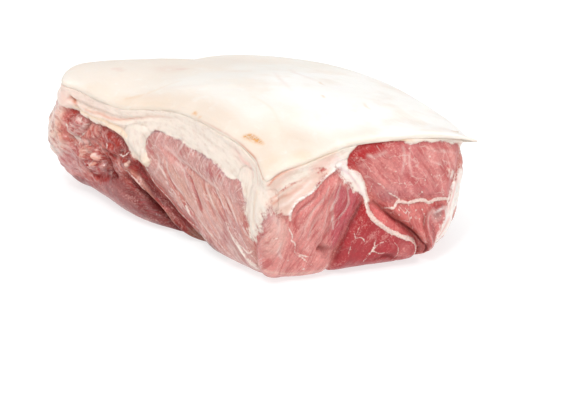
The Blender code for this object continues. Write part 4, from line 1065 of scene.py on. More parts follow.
class Plan:
    """The plan outline cut into columns: where each stands, which way it faces and its wall."""

    def __init__(self, sides: tuple[int, int, int, int]) -> None:
        """Spread columns evenly along each side of the outline.

        Args:
            sides: How many the long side, the cut face, the back and the thin end have.
        """
        self.sides = sides
        self.count = sum(sides)
        loop = spline([astuple(station) for station in STATIONS], closed=True)
        closed = np.vstack([loop, loop[:1]])
        steps = np.linalg.norm(np.diff(closed[:, :2], axis=0), axis=1)
        passed = np.concatenate([[0], np.cumsum(steps)])
        self.length = passed[-1]
        corners = [passed[c * SPLINE_STEPS] for c in CORNERS] + [self.length]
        spans = zip(corners, corners[1:], sides)
        self.places = np.concatenate([np.linspace(a, b, n, endpoint=False) for a, b, n in spans])
        values = [np.interp(self.places, passed, closed[:, k]) for k in range(closed.shape[1])]
        self.x, self.y, self.z, foot_x, foot_y, self.bulge, self.foot, self.lip = values
        self.facing = self._outward(loop)
        tucked = np.stack([foot_x - self.x, foot_y - self.y], axis=1)
        self.tuck = np.linalg.norm(tucked, axis=1)
        self.tucked = tucked / self.tuck[:, None]
        past_far_corner = self.places >= corners[FAR_CORNER] - 0.001
        self.along = self.places - corners[NEAR_CORNER] - np.where(past_far_corner, self.length, 0)

    def _outward(self, loop: np.ndarray) -> np.ndarray:
        """Work out which way the columns face, turned softly at corners.

        Args:
            loop: The outline's points, whose first two numbers are plan x and y.

        Returns:
            Unit plan directions, one row for each column.
        """
        closed = np.vstack([loop, loop[:1]])[:, :2]
        steps = np.diff(closed, axis=0)
        sizes = np.linalg.norm(steps, axis=1)
        middles = np.cumsum(sizes) - sizes / 2
        sideways = np.stack([steps[:, 1], -steps[:, 0]], axis=1) / sizes[:, None]
        even_places = np.arange(int(self.length)) * self.length / int(self.length)
        weights = np.hanning(2 * CORNER_BLEND + 1)
        weights = weights / weights.sum()
        turned = []
        for axis in (0, 1):
            even = np.interp(even_places, middles, sideways[:, axis], period=self.length)
            wrapped = np.concatenate([even[-CORNER_BLEND:], even, even[:CORNER_BLEND]])
            soft = np.convolve(wrapped, weights, "valid")
            turned.append(np.interp(self.places, even_places, soft, period=self.length))
        directions = np.stack(turned, axis=1)
        return directions / np.linalg.norm(directions, axis=1)[:, None]

    def chart(self, rows: int) -> Chart:
        """Chart the wall, as columns by rows."""
        length = self.z - self.foot + np.pi / 2 * self.foot
        down = length[:, None] * np.linspace(0, 1, rows + 1)
        return Chart(np.broadcast_to(self.along[:, None], down.shape).copy(), down)

    def wall(self, down: np.ndarray, relief: np.ndarray) -> np.ndarray:
        """Place the wall's points.

        Args:
            down: How far down the wall they are, as columns by rows.
            relief: How far they stand out from the plain sweep.

        Returns:
            The points, as columns by rows by xyz.
        """
        x, y, z = (value[:, None] for value in (self.x, self.y, self.z))
        foot = self.foot[:, None]
        turn = np.clip((down - (z - foot)) / foot, 0, np.pi / 2)
        height = np.where(turn > 0, foot * (1 - np.sin(turn)), z - down)
        share = 1 - height / z
        lean = (self.tuck - self.lip - self.foot)[:, None]
        inwards = self.lip[:, None] + lean * share + foot * (1 - np.cos(turn))
        out = self.bulge[:, None] * np.sin(np.pi * share) + relief * np.cos(turn)
        height = np.maximum(height - np.minimum(relief, 0) * np.sin(turn), 0)
        plan = [
            start + self.tucked[:, axis : axis + 1] * inwards + self.facing[:, axis : axis + 1] * out
            for axis, start in enumerate((x, y))
        ]
        return np.stack([*plan, height], axis=-1)

    def ring(self, out: float | np.ndarray, up: float | np.ndarray) -> np.ndarray:
        """A ring round the rind, moved out and up from its lower edge."""
        x, y = self.x + self.facing[:, 0] * out, self.y + self.facing[:, 1] * out
        return np.stack([x, y, self.z + up], axis=-1)

    def patch(self, ring: np.ndarray) -> np.ndarray:
        """Span a ring of points with a Coons patch.

        Args:
            ring: The points, one for each column.

        Returns:
            The patch's points, as lines across by lines back by xyz.
        """
        side, end = self.sides[:2]
        near = ring[: side + 1]
        right = ring[side : side + end + 1]
        far = ring[side + end : 2 * side + end + 1][::-1]
        left = np.vstack([ring[2 * side + end :], ring[:1]])[::-1]
        u = np.linspace(0, 1, side + 1)[:, None, None]
        v = np.linspace(0, 1, end + 1)[None, :, None]
        ruled = (1 - v) * near[:, None] + v * far[:, None] + (1 - u) * left[None] + u * right[None]
        corners = (1 - u) * ((1 - v) * near[0] + v * far[0]) + u * ((1 - v) * near[-1] + v * far[-1])
        return ruled - corners


def packed_relief(chart: Chart) -> np.ndarray:
    """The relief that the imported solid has: muscles, fat and furrows."""
    relief = sum(chart.swelling(muscle) for muscle in (*MUSCLES.values(), *FAT_SWELLS.values()))
    relief = relief + sum(chart.folding(crease) for crease in CREASES.values())
    return relief * np.clip(chart.down / RELIEF_START, 0, 1)


def plan_shift() -> np.ndarray:
    """How far the plan's frame is from the part's.

    Returns:
        What to add to a point of the plan to bring it to the part's frame, in mm.
    """
    plan = Plan((140, 88, 140, 88))
    chart = plan.chart(56)
    wall = plan.wall(chart.down, packed_relief(chart)).reshape(-1, 3)
    points = np.concatenate([plan.ring(Rind.edge_out, 0), wall])
    low, high = (np.array(corner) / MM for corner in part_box(NODE))
    middle = (points.min(axis=0) + points.max(axis=0)) / 2
    shift = (low + high) / 2 - middle
    return np.array([shift[0], shift[1], 0.0])


@dataclass
class Skin:
    """A closed mesh in the making: rings of columns with a patch or a fan at each end."""

    vertices: list[np.ndarray] = field(default_factory=list)
    faces: list[tuple[int, ...]] = field(default_factory=list)
    made: int = 0

    def add(self, points: np.ndarray) -> int:
        """Add points and return the number of the first."""
        start = self.made
        self.vertices.append(points)
        self.made += len(points)
        return start

    def rings(self, rings: list[np.ndarray]) -> int:
        """Add rings of points with the faces between them.

        Args:
            rings: The rings, from the top down.

        Returns:
            The number of the first point.
        """
        count = len(rings[0])
        start = self.add(np.concatenate(rings))
        for row in range(len(rings) - 1):
            high = start + row * count
            low = high + count
            for column in range(count):
                beside = (column + 1) % count
                self.faces.append((high + column, low + column, low + beside, high + beside))
        return start

    def zip(self, high: int, high_places: np.ndarray, low: int, low_places: np.ndarray) -> None:
        """Join two rings whose columns differ in number with triangles.

        Args:
            high: The number of the upper ring's first point.
            high_places: How far round each of its points is.
            low: The number of the lower ring's first point.
            low_places: How far round each of its points is, in the same unit.
        """
        i = j = 0
        while i < len(high_places) or j < len(low_places):
            next_high = high_places[i + 1] if i + 1 < len(high_places) else np.inf
            next_low = low_places[j + 1] if j + 1 < len(low_places) else np.inf
            upper = high + i % len(high_places)
            lower = low + j % len(low_places)
            if j >= len(low_places) or (next_high <= next_low and i < len(high_places)):
                self.faces.append((upper, lower, high + (i + 1) % len(high_places)))
                i += 1
            else:
                self.faces.append((upper, lower, low + (j + 1) % len(low_places)))
                j += 1

    def cap(self, plan: Plan, grid: np.ndarray, ring_start: int, faces_up: bool) -> None:
        """Close a ring with a patch's grid.

        Args:
            plan: The plan that the ring and the patch are cut by.
            grid: The patch's points, whose rim lies on the ring.
            ring_start: The number of the ring's first point.
            faces_up: Whether the patch faces up.
        """
        side, end = plan.sides[:2]
        number = np.zeros(grid.shape[:2], int)
        number[:, 0] = ring_start + np.arange(side + 1)
        number[-1, :] = ring_start + side + np.arange(end + 1)
        number[::-1, -1] = ring_start + side + end + np.arange(side + 1)
        number[0, ::-1] = ring_start + (2 * side + end + np.arange(end + 1)) % plan.count
        inner = grid[1:-1, 1:-1].reshape(-1, 3)
        number[1:-1, 1:-1] = self.add(inner) + np.arange(len(inner)).reshape(side - 1, end - 1)
        for i in range(side):
            for j in range(end):
                face = (number[i, j], number[i + 1, j], number[i + 1, j + 1], number[i, j + 1])
                self.faces.append(face if faces_up else face[::-1])

    def fan(self, count: int, ring_start: int, point: np.ndarray, faces_up: bool) -> None:
        """Close a ring with triangles to one point.

        Args:
            count: How many points the ring has.
            ring_start: The number of its first point.
            point: The one point.
            faces_up: Whether the triangles face up.
        """
        centre = self.add(point[None])
        for column in range(count):
            face = (ring_start + column, ring_start + (column + 1) % count, centre)
            self.faces.append(face if faces_up else face[::-1])

    def piece(self, name: str, shift: np.ndarray, numbers: dict[str, np.ndarray]) -> bpy.types.Object:
        """Make the object.

        Args:
            name: The piece's name.
            shift: What to add to every point, in mm.
            numbers: Per-point values by attribute name: one, or three for a colour or a vector.

        Returns:
            The object, shaded smooth and riding on the part's body.
        """
        mesh = bpy.data.meshes.new(name)
        mesh.from_pydata((np.concatenate(self.vertices) + shift) * MM, [], self.faces)
        for key, values in numbers.items():
            kind, field_name = ("FLOAT", "value") if values.ndim == 1 else ("FLOAT_VECTOR", "vector")
            attribute = mesh.attributes.new(key, kind, "POINT")
            attribute.data.foreach_set(field_name, values.astype(np.float32).ravel())
        mesh.shade_smooth()
        made = bpy.data.objects.new(name, mesh)
        bpy.context.scene.collection.objects.link(made)
        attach(made, BODY)
        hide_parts(NODE)
        LOG.info("%s: %d points, %d faces", name, len(mesh.vertices), len(mesh.polygons))
        return made


# ---- shader expressions


class Value:
    """A number in a node tree that Python expressions can be written with."""

    def __init__(self, book: "NodeBook", socket: bpy.types.NodeSocket) -> None:
        """Keep the socket and the tree's book of nodes."""
        self.book = book
        self.socket = socket

    def _math(self, operation: str, *operands: "Value | float") -> "Value":
        """Add a Math node over operands."""
        inputs = dict(enumerate(operands))
        return self.book.value("ShaderNodeMath", {"operation": operation}, inputs)

    def __add__(self, other: "Value | float") -> "Value":
        """Self plus other."""
        return self._math("ADD", self, other)

    __radd__ = __add__

    def __sub__(self, other: "Value | float") -> "Value":
        """Self minus other."""
        return self._math("SUBTRACT", self, other)

    def __rsub__(self, other: float) -> "Value":
        """Other minus self."""
        return self._math("SUBTRACT", other, self)

    def __mul__(self, other: "Value | float") -> "Value":
        """Self times other."""
        return self._math("MULTIPLY", self, other)

    __rmul__ = __mul__

    def __abs__(self) -> "Value":
        """Self without its sign."""
        return self._math("ABSOLUTE", self)

    def above(self, low: float, high: float) -> "Value":
        """Rise softly from 0 at low to 1 at high, or fall where high is the lower.

        Args:
            low: Where the result is 0.
            high: Where it is 1.

        Returns:
            The result.
        """
        turned = low > high
        bottom, top = (high, low) if turned else (low, high)
        settings = {"interpolation_type": "SMOOTHSTEP"}
        inputs = {"Value": self, "From Min": bottom, "From Max": top}
        risen = self.book.value("ShaderNodeMapRange", settings, inputs)
        return 1 - risen if turned else risen


class NodeBook:
    """The nodes of one material, made by name and joined by expressions."""

    def __init__(self, name: str) -> None:
        """Start a material with only a Principled shader and its output."""
        self.material = bpy.data.materials.new(name)
        self.material.use_nodes = True
        self.tree = self.material.node_tree
        self.shader = self.tree.nodes["Principled BSDF"]

    @staticmethod
    def _socket(sockets: bpy.types.bpy_prop_collection, key: str | int) -> bpy.types.NodeSocket:
        """Find a socket by number, identifier or name."""
        if isinstance(key, int):
            return sockets[key]
        return next((s for s in sockets if s.identifier == key), None) or sockets[key]

    def node(self, kind: str, settings: dict | None = None, inputs: dict | None = None) -> bpy.types.Node:
        """Make a node.

        Args:
            kind: Its Blender type.
            settings: Its properties, set first.
            inputs: Values, or what to link, by socket name, identifier or number.

        Returns:
            The node.
        """
        made = self.tree.nodes.new(kind)
        for key, value in (settings or {}).items():
            setattr(made, key, value)
        for key, value in (inputs or {}).items():
            self.feed(made, key, value)
        return made

    def feed(self, node: bpy.types.Node, key: str | int, value: object) -> None:
        """Link or set one input of a node.

        Args:
            node: The node.
            key: The input's number, identifier or name.
            value: What to link, or the value to set.
        """
        socket = self._socket(node.inputs, key)
        source = value.socket if isinstance(value, Value) else value
        if isinstance(source, bpy.types.NodeSocket):
            self.tree.links.new(source, socket)
        elif isinstance(source, tuple) and len(source) == 3 and len(socket.default_value) == 4:
            socket.default_value = (*source, 1)
        else:
            socket.default_value = source

    def value(
        self, kind: str, settings: dict | None = None, inputs: dict | None = None, output: str | int = 0
    ) -> Value:
        """Make a node and take one output as a number."""
        return Value(self, self._socket(self.node(kind, settings, inputs).outputs, output))

    def number(self, name: str) -> Value:
        """A per-point number of the mesh."""
        return self.value("ShaderNodeAttribute", {"attribute_name": name}, output="Fac")

    def vector(self, name: str) -> bpy.types.NodeSocket:
        """A per-point vector or colour of the mesh."""
        return self.node("ShaderNodeAttribute", {"attribute_name": name}).outputs["Vector"]

    def place(self) -> bpy.types.NodeSocket:
        """The point's place in mm."""
        return self.scaled(self.node("ShaderNodeTexCoord").outputs["Object"], (1 / MM,) * 3)

    def grey(self, value: Value) -> bpy.types.NodeSocket:
        """A grey as light as a number."""
        inputs = {"X": value, "Y": value, "Z": value}
        return self.node("ShaderNodeCombineXYZ", None, inputs).outputs["Vector"]

    def scaled(self, vector: bpy.types.NodeSocket, by: Three) -> bpy.types.NodeSocket:
        """A vector with each part multiplied."""
        return self.vectors("MULTIPLY", vector, by)

    def vectors(self, operation: str, first: object, second: object) -> bpy.types.NodeSocket:
        """Vector Math over two vectors."""
        return self.node("ShaderNodeVectorMath", {"operation": operation}, {0: first, 1: second}).outputs[0]

    def shifted(self, vector: bpy.types.NodeSocket, amount: float, size: float) -> bpy.types.NodeSocket:
        """Shake a vector by noise, so that lines drawn with it wander.

        Args:
            vector: The vector.
            amount: The most that each of its parts is moved by.
            size: How long the noise's largest features are.

        Returns:
            The shaken vector.
        """
        inputs = {"Vector": vector, "Scale": 1 / size, "Detail": 2.0}
        colour = self.node("ShaderNodeTexNoise", {"noise_dimensions": "3D"}, inputs).outputs["Color"]
        centred = self.vectors("SUBTRACT", colour, (0.5, 0.5, 0.5))
        return self.vectors("ADD", vector, self.scaled(centred, (2 * amount,) * 3))

    def noise(
        self, vector: bpy.types.NodeSocket, size: float, detail: float = 2.0, roughness: float = 0.5
    ) -> Value:
        """Noise between 0 and 1 whose largest features are size long."""
        inputs = {"Vector": vector, "Scale": 1 / size, "Detail": detail, "Roughness": roughness}
        return self.value("ShaderNodeTexNoise", {"noise_dimensions": "3D"}, inputs)

    def strands(
        self, vector: bpy.types.NodeSocket, size: float, stretch: float, sway: float, detail: float = 3.0
    ) -> Value:
        """Noise drawn out along the vector's second part, size wide and stretch times as long."""
        swayed = self.shifted(vector, sway, 5 * size)
        return self.noise(self.scaled(swayed, (1.0, 1 / stretch, 1.0)), size, detail, 0.6)

    def cells(self, vector: bpy.types.NodeSocket, size: float, feature: str = "F1") -> Value:
        """Distance among scattered points about size apart, as a share of size."""
        inputs = {"Vector": vector, "Scale": 1 / size}
        return self.value("ShaderNodeTexVoronoi", {"feature": feature}, inputs, "Distance")

    def mix(
        self, share: Value | float, under: object, over: object, blend: str = "MIX"
    ) -> bpy.types.NodeSocket:
        """Lay a share of one colour over another.

        Args:
            share: The share, 0 to 1.
            under: The colour below, or its link.
            over: The colour laid on it, or its link.
            blend: How they blend.

        Returns:
            The blended colour.
        """
        settings = {"data_type": "RGBA", "blend_type": blend}
        inputs = {"Factor_Float": share, "A_Color": under, "B_Color": over}
        return self._socket(self.node("ShaderNodeMix", settings, inputs).outputs, "Result_Color")

    def lit(self, lightness: Value, colour: object) -> bpy.types.NodeSocket:
        """A colour made lighter or darker by a factor."""
        return self.mix(1.0, colour, self.grey(lightness), "MULTIPLY")

    def finish(
        self, colour: object, roughness: object, height: Value, depth: float, **constants: object
    ) -> None:
        """Feed the shader.

        Args:
            colour: Its base colour.
            roughness: Its roughness.
            height: What the bump is made from.
            depth: How deep the bump is in metres where height goes from 0 to 1.
            **constants: Other sockets of the shader, by name with _ for a space.
        """
        bump = self.node("ShaderNodeBump", None, {"Strength": 1.0, "Distance": depth, "Height": height})
        self.feed(self.shader, "Base Color", colour)
        self.feed(self.shader, "Roughness", roughness)
        self.feed(self.shader, "Normal", bump.outputs["Normal"])
        for name, value in constants.items():
            self.feed(self.shader, name.replace("_", " "), value)


# ---- finishes


@dataclass(frozen=True)
class MeatFinish:
    """Raw pork: flesh with its fibres and marbling, fat, silver skin, and painted shade in its clefts."""

    fat: Colour = linear(237, 222, 209)
    fat_low: Colour = linear(232, 198, 180)
    vein: Colour = linear(248, 222, 210)
    silver: Colour = wet(228, 184, 184)
    thread: Colour = linear(248, 230, 222)
    # the colour of the painted shade in clefts, furrows and holes
    deep: Colour = wet(120, 27, 28)
    redder: Colour = wet(190, 74, 76)
    paler: Colour = wet(240, 186, 176)
    torn: Colour = wet(176, 70, 62)
    bump_depth: float = 0.0007

    def material(self) -> bpy.types.Material:
        """Build the material.

        Returns:
            The material, which reads the meat's per-point values.
        """
        book = NodeBook("raw_meat")
        place = book.place()
        grain = book.vector("grain")
        fat_grain = book.vector("fat_grain")
        shade = book.number("shade")
        fibred = book.number("fibres")
        marbled = book.number("marbling")
        threaded = book.number("threads")
        ragged = book.number("ragged")

        hairs = book.strands(grain, 1.0, 9.0, 0.8)
        fibres = book.strands(grain, 2.3, 8.0, 1.6)
        bundles = book.strands(grain, 7.0, 4.0, 3.0, 2.0)
        mottle = book.noise(place, 13.0, 3.0)
        grit = book.noise(place, 1.3, 3.0, 0.65)
        wander = book.noise(place, 2.6, 3.0, 0.6) - 0.5

        streaks = (fibres - 0.5) * 0.85 + (hairs - 0.5) * 0.35
        blots = book.noise(place, 4.5, 3.0, 0.6)
        tones = (bundles - 0.5) * 0.5 + (mottle - 0.5) * 0.3 + (blots - 0.5) * 0.35 + (grit - 0.5) * 0.55
        colour = book.lit(1 + streaks * fibred + tones, book.vector("flesh"))
        colour = book.mix((fibres + mottle).above(0.98, 0.78) * 0.45, colour, self.redder)
        colour = book.mix((bundles + grit).above(1.04, 1.30) * 0.45, colour, self.paler)

        tears = book.strands(grain, 2.2, 3.5, 2.4) + blots * 0.5
        colour = book.mix(ragged * tears.above(0.80, 0.92) * 0.50, colour, self.paler)
        colour = book.mix(ragged * tears.above(0.74, 0.60) * 0.70, colour, self.torn)
        patches = book.noise(place, 9.0, 2.0)
        filaments = abs(fibres - 0.52).above(0.035, 0.006) * patches.above(0.42, 0.58)
        fine_filaments = abs(hairs - 0.5).above(0.04, 0.0) * patches.above(0.56, 0.44)
        drawn = (filaments + fine_filaments * 0.6) * threaded
        colour = book.mix(drawn * 0.75, colour, self.vein)

        web_place = book.scaled(book.shifted(grain, 2.0, 6.0), (1.0, 0.6, 1.0))
        web = book.cells(web_place, 6.5, "DISTANCE_TO_EDGE").above(0.055, 0.015)
        web = web * book.noise(place, 6.0, 2.0).above(0.46, 0.60) * marbled.above(0.0, 0.6)
        flecks = book.cells(book.scaled(grain, (1.0, 0.5, 1.0)), 3.4).above(0.17, 0.08)
        flecks = flecks * patches.above(0.50, 0.60) * marbled.above(0.05, 0.6)
        colour = book.mix((web * 0.6 + flecks * 0.8).above(0.0, 1.0), colour, self.vein)

        silver = (book.number("silver") + wander * 3.0).above(-0.4, 0.8)
        sheen = book.strands(grain, 3.0, 14.0, 2.0, 2.0)
        colour = book.mix(silver * (0.04 + sheen.above(0.46, 0.72) * 0.26), colour, self.silver)
        bright = silver * abs(sheen - 0.55).above(0.02, 0.0) * patches.above(0.46, 0.60)
        colour = book.mix(bright * 0.6, colour, self.thread)
        comb = book.noise(book.scaled(book.vector("comb"), (1.0, 0.10, 1.0)), 2.2, 2.0).above(0.48, 0.72)
        colour = book.mix(comb * book.number("combed") * 0.55, colour, self.thread)

        # painted shade in the clefts, furrows and holes
        colour = book.mix((shade + wander * 0.3).above(0.05, 1.0) * 0.92, colour, self.deep)

        vein = (book.number("vein") + wander * 1.7).above(-0.30, 0.35)
        colour = book.mix(vein * (0.88 + (grit - 0.5) * 1.1), colour, self.vein)

        strands = book.strands(fat_grain, 1.9, 6.0, 1.6)
        fat = (book.number("fat") + wander * 2.6 + (strands - 0.5) * 2.2).above(-0.65, 0.60)
        lobes = book.noise(place, 4.2, 3.0, 0.6)
        fat_tone = 1.12 + (strands - 0.5) * 0.22 + (lobes - 0.5) * 0.14
        fat_colour = book.lit(fat_tone, book.vector("fat_tint"))
        fat_colour = book.mix((strands + lobes).above(1.0, 0.72) * 0.35, fat_colour, self.fat_low)
        colour = book.mix(fat, colour, fat_colour)
        # painted shade over the fat in the darkest clefts
        colour = book.mix(shade.above(0.5, 1.3) * fat * 0.5, colour, self.deep)

        moist = book.noise(place, 4.0, 2.0)
        roughness = 0.26 + moist * 0.24 + fat * 0.10 + shade * 0.3
        flesh_height = (fibres * 0.6 + hairs * 0.3) * fibred + grit * 0.30 + (web + flecks) * 0.10
        fat_height = lobes * 0.55 + strands * 0.55 + grit * 0.10
        height = flesh_height * (1 - fat) + fat_height * fat + vein * 0.3 + sheen * silver * 0.4 + drawn * 0.1
        book.finish(
            colour,
            roughness,
            height,
            self.bump_depth,
            Subsurface_Weight=0.10,
            Subsurface_Radius=(1.0, 0.35, 0.22),
            Subsurface_Scale=0.0025,
            Specular_IOR_Level=0.22,
            Coat_Weight=(0.25 + ragged * 0.45 + silver * 0.10) * shade.above(0.35, 0.0),
            Coat_Roughness=0.09,
        )
        return book.material


@dataclass(frozen=True)
class RindFinish:
    """Scalded rind: cream, smooth and faintly moist, with pores, soft blotches and dried marks."""

    skin: Colour = linear(255, 249, 241)
    edge: Colour = linear(249, 233, 217)
    blush: Colour = linear(252, 238, 224)
    white: Colour = linear(255, 254, 251)
    crust: Colour = linear(232, 160, 76)
    bump_depth: float = 0.0005

    def material(self) -> bpy.types.Material:
        """Build the material.

        Returns:
            The material, which reads the rind's per-point values.
        """
        book = NodeBook("rind")
        place = book.place()
        mottle = book.noise(place, 30.0, 3.0)
        cloud = book.noise(book.shifted(place, 6.0, 20.0), 9.0, 3.0, 0.6)
        grit = book.noise(place, 0.9, 2.0, 0.6)
        pores = book.cells(book.shifted(place, 0.6, 3.0), 1.7)
        colour = book.mix(mottle.above(0.45, 0.72) * 0.6, book.vector("tint"), self.blush)
        colour = book.mix(cloud.above(0.53, 0.76) * 0.35, colour, self.white)
        colour = book.mix((book.number("rim") + (cloud - 0.5) * 0.6).above(0.2, 1.1) * 0.8, colour, self.edge)
        scab = book.number("scab") * book.noise(place, 1.3, 2.0, 0.7).above(0.40, 0.56)
        colour = book.mix(scab * 0.85, colour, self.crust)
        colour = book.lit(1 - pores.above(0.20, 0.05) * 0.035 + (grit - 0.5) * 0.04, colour)
        roughness = 0.40 + cloud * 0.18
        creased = book.shifted(place, 3.0, 12.0)
        wrinkles = book.noise(book.scaled(creased, (0.35, 1.0, 1.0)), 4.0, 3.0, 0.55)
        height = wrinkles * 0.8 + pores.above(0.0, 0.3) * 0.25 + grit * 0.12 + scab * 0.5
        book.finish(
            colour,
            roughness,
            height,
            self.bump_depth,
            Subsurface_Weight=0.10,
            Subsurface_Radius=(1.0, 0.6, 0.4),
            Subsurface_Scale=0.003,
            Specular_IOR_Level=0.4,
            Coat_Weight=0.08,
            Coat_Roughness=0.25,
        )
        return book.material


@dataclass(frozen=True)
class PaleFinish:
    """A plain matt white surface that the joint lies on, lit a little from below."""

    colour: Colour = (0.36, 0.38, 0.38)
    glow: float = 0.70
    roughness: float = 0.8

    def material(self) -> bpy.types.Material:
        """Build the material."""
        book = NodeBook("pale_floor")
        book.feed(book.shader, "Base Color", self.colour)
        book.feed(book.shader, "Roughness", self.roughness)
        book.feed(book.shader, "Emission Color", (1.0, 1.0, 1.0))
        book.feed(book.shader, "Emission Strength", self.glow)
        return book.material


# ---- the joint

# Where flesh was cut and torn rather than parted.
TORN = {
    "neck": "-214,14 -200,15 -170,17 -150,28 -146,40 -166,46 -186,58 -213,62",
    "end": "-262,18 -230,14 -212,20 -210,60 -240,66 -262,54",
}

# Where the fat thins out in wisps rather than ends at a line, and how much of its depth that takes.
WISPY = (
    "-26,28 -18,22 0,26 3,44 -8,56 -26,48",
    "122,0 152,0 152,82 116,82",
    "0,10 34,4 44,10 34,18 16,26 0,26",
    "44,8 54,10 66,32 62,34 50,22",
    "-44,48 -10,48 -8,72 -36,72",
)
WISP_SHARE = 0.7

# Which way the strands of the fat run, in degrees from along towards down.
FAT_GRAIN = 6.0
FAT_GRAINS = {
    "band_left": ("-240,-5 -180,-5 -180,20 -240,20", -8.0),
    "tongue": ("-154,12 -134,12 -122,40 -144,40 -158,26", 62.0),
    "column": ("-30,10 6,8 2,34 -8,54 -30,34", 82.0),
    "fork": ("48,9 62,9 76,40 62,40", 62.0),
    "far_edge": ("128,12 150,12 150,80 118,80", 100.0),
}


@dataclass
class Meat:
    """Everything below the rind: walls, foot and underside."""

    sides: tuple[int, int, int, int] = (300, 190, 150, 100)
    rows: int = 104
    base_sides: tuple[int, int, int, int] = (110, 70, 110, 70)
    base_inset: float = 2.5
    fat_step: float = 0.7
    vein_step: float = 0.35
    fibre_relief: float = 0.25
    fine_start: float = 0.5
    flush_depth: float = 3.5
    flush_out: float = -0.5
    top_tuck: float = 4.0
    top_rise: float = 1.4
    comb_reach: float = 12.0
    comb_width: float = 7.0
    finish: MeatFinish = MeatFinish()

    def __post_init__(self) -> None:
        """Cut the plan and chart the wall."""
        self.plan = Plan(self.sides)
        self.chart = self.plan.chart(self.rows)

    def raggedness(self) -> np.ndarray:
        """Work out where flesh was cut and torn.

        Returns:
            A share for each place, 0 to 1.
        """
        neck = smooth(self.chart.depth(TORN["neck"], 8), -4, 4)
        end = smooth(self.chart.depth(TORN["end"], 12), -8, 6)
        return np.maximum(neck, 0.7 * end)

    def relief(self, values: dict[str, np.ndarray]) -> np.ndarray:
        """Work out how far the wall stands out from its plain sweep.

        Args:
            values: The per-place values that the material reads.

        Returns:
            The relief in mm, as columns by rows.
        """
        chart = self.chart
        flat = np.stack([chart.across, chart.down, 0 * chart.down], axis=-1)
        fat = smooth(values["fat"], -0.8, 0.8)
        fine = sum(chart.folding(crease) for crease in FINE_CREASES)
        fine = fine + self.fat_step * fat + self.vein_step * smooth(values["vein"], -0.8, 0.6)
        strands = rough(values["grain"] * (0.36, 0.045, 1.0), 1.0, 2, 5)
        fine = fine + self.fibre_relief * values["fibres"] * (1 - fat) * strands
        fine = fine + 0.35 * fat * rough(values["fat_grain"] * (0.30, 0.05, 1.0), 1.0, 2, 8)
        fine = fine + 0.40 * rough(flat, 11.0, 3, 6) + 0.12 * rough(flat, 2.6, 2, 11)
        reach = np.minimum(self.plan.lip, 2.0)[:, None] + self.flush_out
        fine = fine + fat * reach * np.exp(-((chart.down / self.flush_depth) ** 2))
        torn = 1.9 * abs(rough(flat, 7.0, 3, 7)) - 0.9 + 0.5 * rough(flat, 3.4, 2, 10)
        torn = torn + 0.8 * rough(values["grain"] * (0.5, 0.12, 1.0), 1.0, 2, 12)
        fine = fine + values["ragged"] * torn * (1 - 0.5 * fat)
        return packed_relief(chart) + fine * np.clip(chart.down / self.fine_start, 0, 1)

    def turned(self, angle: np.ndarray, apart: np.ndarray) -> np.ndarray:
        """Coordinates beside and along the way that fibres run, in mm.

        Args:
            angle: The way in degrees from along towards down.
            apart: A third coordinate that sets muscles apart.

        Returns:
            The coordinates, as columns by rows by three.
        """
        turn = np.radians(angle)
        running = self.chart.across * np.cos(turn) + self.chart.down * np.sin(turn)
        beside = self.chart.down * np.cos(turn) - self.chart.across * np.sin(turn)
        return np.stack([beside, running, apart], axis=-1)

    def fleck_depth(self) -> np.ndarray:
        """Work out how deep each place is inside a fleck of fat.

        Returns:
            The depths in mm, below 0 outside.
        """
        across, down = self.chart.across, self.chart.down
        gaps = [np.hypot(across - x, (down - y) * FLECK_FLATNESS) for x, y in read(FLECKS)]
        return FLECK_SIZE - np.min(gaps, axis=0)

    def values(self) -> dict[str, np.ndarray]:
        """Chart what the material reads.

        Returns:
            Per-place values by name, as columns by rows.
        """
        chart = self.chart
        shape = chart.across.shape
        flesh = np.broadcast_to(np.array(Flesh.BACK.value), (*shape, 3)).copy()
        angle = np.full(shape, 30.0)
        shares = (("fibres", 0.4), ("marbling", 0.2), ("threads", 0.3))
        shown = {key: np.full(shape, share) for key, share in shares}
        apart = np.zeros(shape)
        for number, muscle in enumerate(MUSCLES.values(), 1):
            inwards = chart.depth(muscle.outline, 6.0)
            share = smooth(inwards, -2.0, 2.0)
            flesh += share[..., None] * (np.array(muscle.flesh.value) - flesh)
            for key, value in shown.items():
                value += share * (getattr(muscle, key) - value)
            inside = inwards > 0
            angle[inside] = muscle.grain
            apart[inside] = 40.0 * number
        ragged = self.raggedness()
        flesh += (0.8 * ragged * (apart == 0))[..., None] * (np.array(Flesh.NECK.value) - flesh)
        chart.paint(flesh, STAINS.values(), STROKES)
        fat_tint = np.broadcast_to(np.array(self.finish.fat), (*shape, 3)).copy()
        chart.paint(fat_tint, FAT_STAINS.values(), FAT_STROKES)
        fat_angle = np.full(shape, FAT_GRAIN)
        for outline, degrees in FAT_GRAINS.values():
            fat_angle[chart.depth(outline) > 0] = degrees
        wispy = np.max([chart.depth(outline, 4.0) for outline in WISPY], axis=0)
        fat = np.max([chart.depth(outline) for outline in FAT.values()], axis=0)
        fat = fat * (1 - WISP_SHARE * smooth(wispy, -3, 3))
        comb_away, comb_passed, _ = chart.along(COMB_LINE, self.comb_reach)
        silver = np.max([chart.depth(outline) for outline in SILVER.values()], axis=0)
        shaded = [crease for crease in (*CREASES.values(), *FINE_CREASES) if crease.shade]
        veins = [chart.line_depth(vein) for vein in VEINS]
        return shown | {
            "flesh": flesh,
            "fat_tint": fat_tint,
            "grain": self.turned(angle, apart),
            "fat_grain": self.turned(fat_angle, fat_angle),
            "fat": fat,
            "silver": silver,
            "vein": np.max([*veins, self.fleck_depth()], axis=0),
            "shade": np.max([chart.shading(crease) for crease in shaded], axis=0),
            "ragged": ragged,
            "comb": np.stack([120 * comb_passed, comb_away, 0 * comb_away], axis=-1),
            "combed": np.exp(-((comb_away / self.comb_width) ** 2)) * (silver > -1),
        }

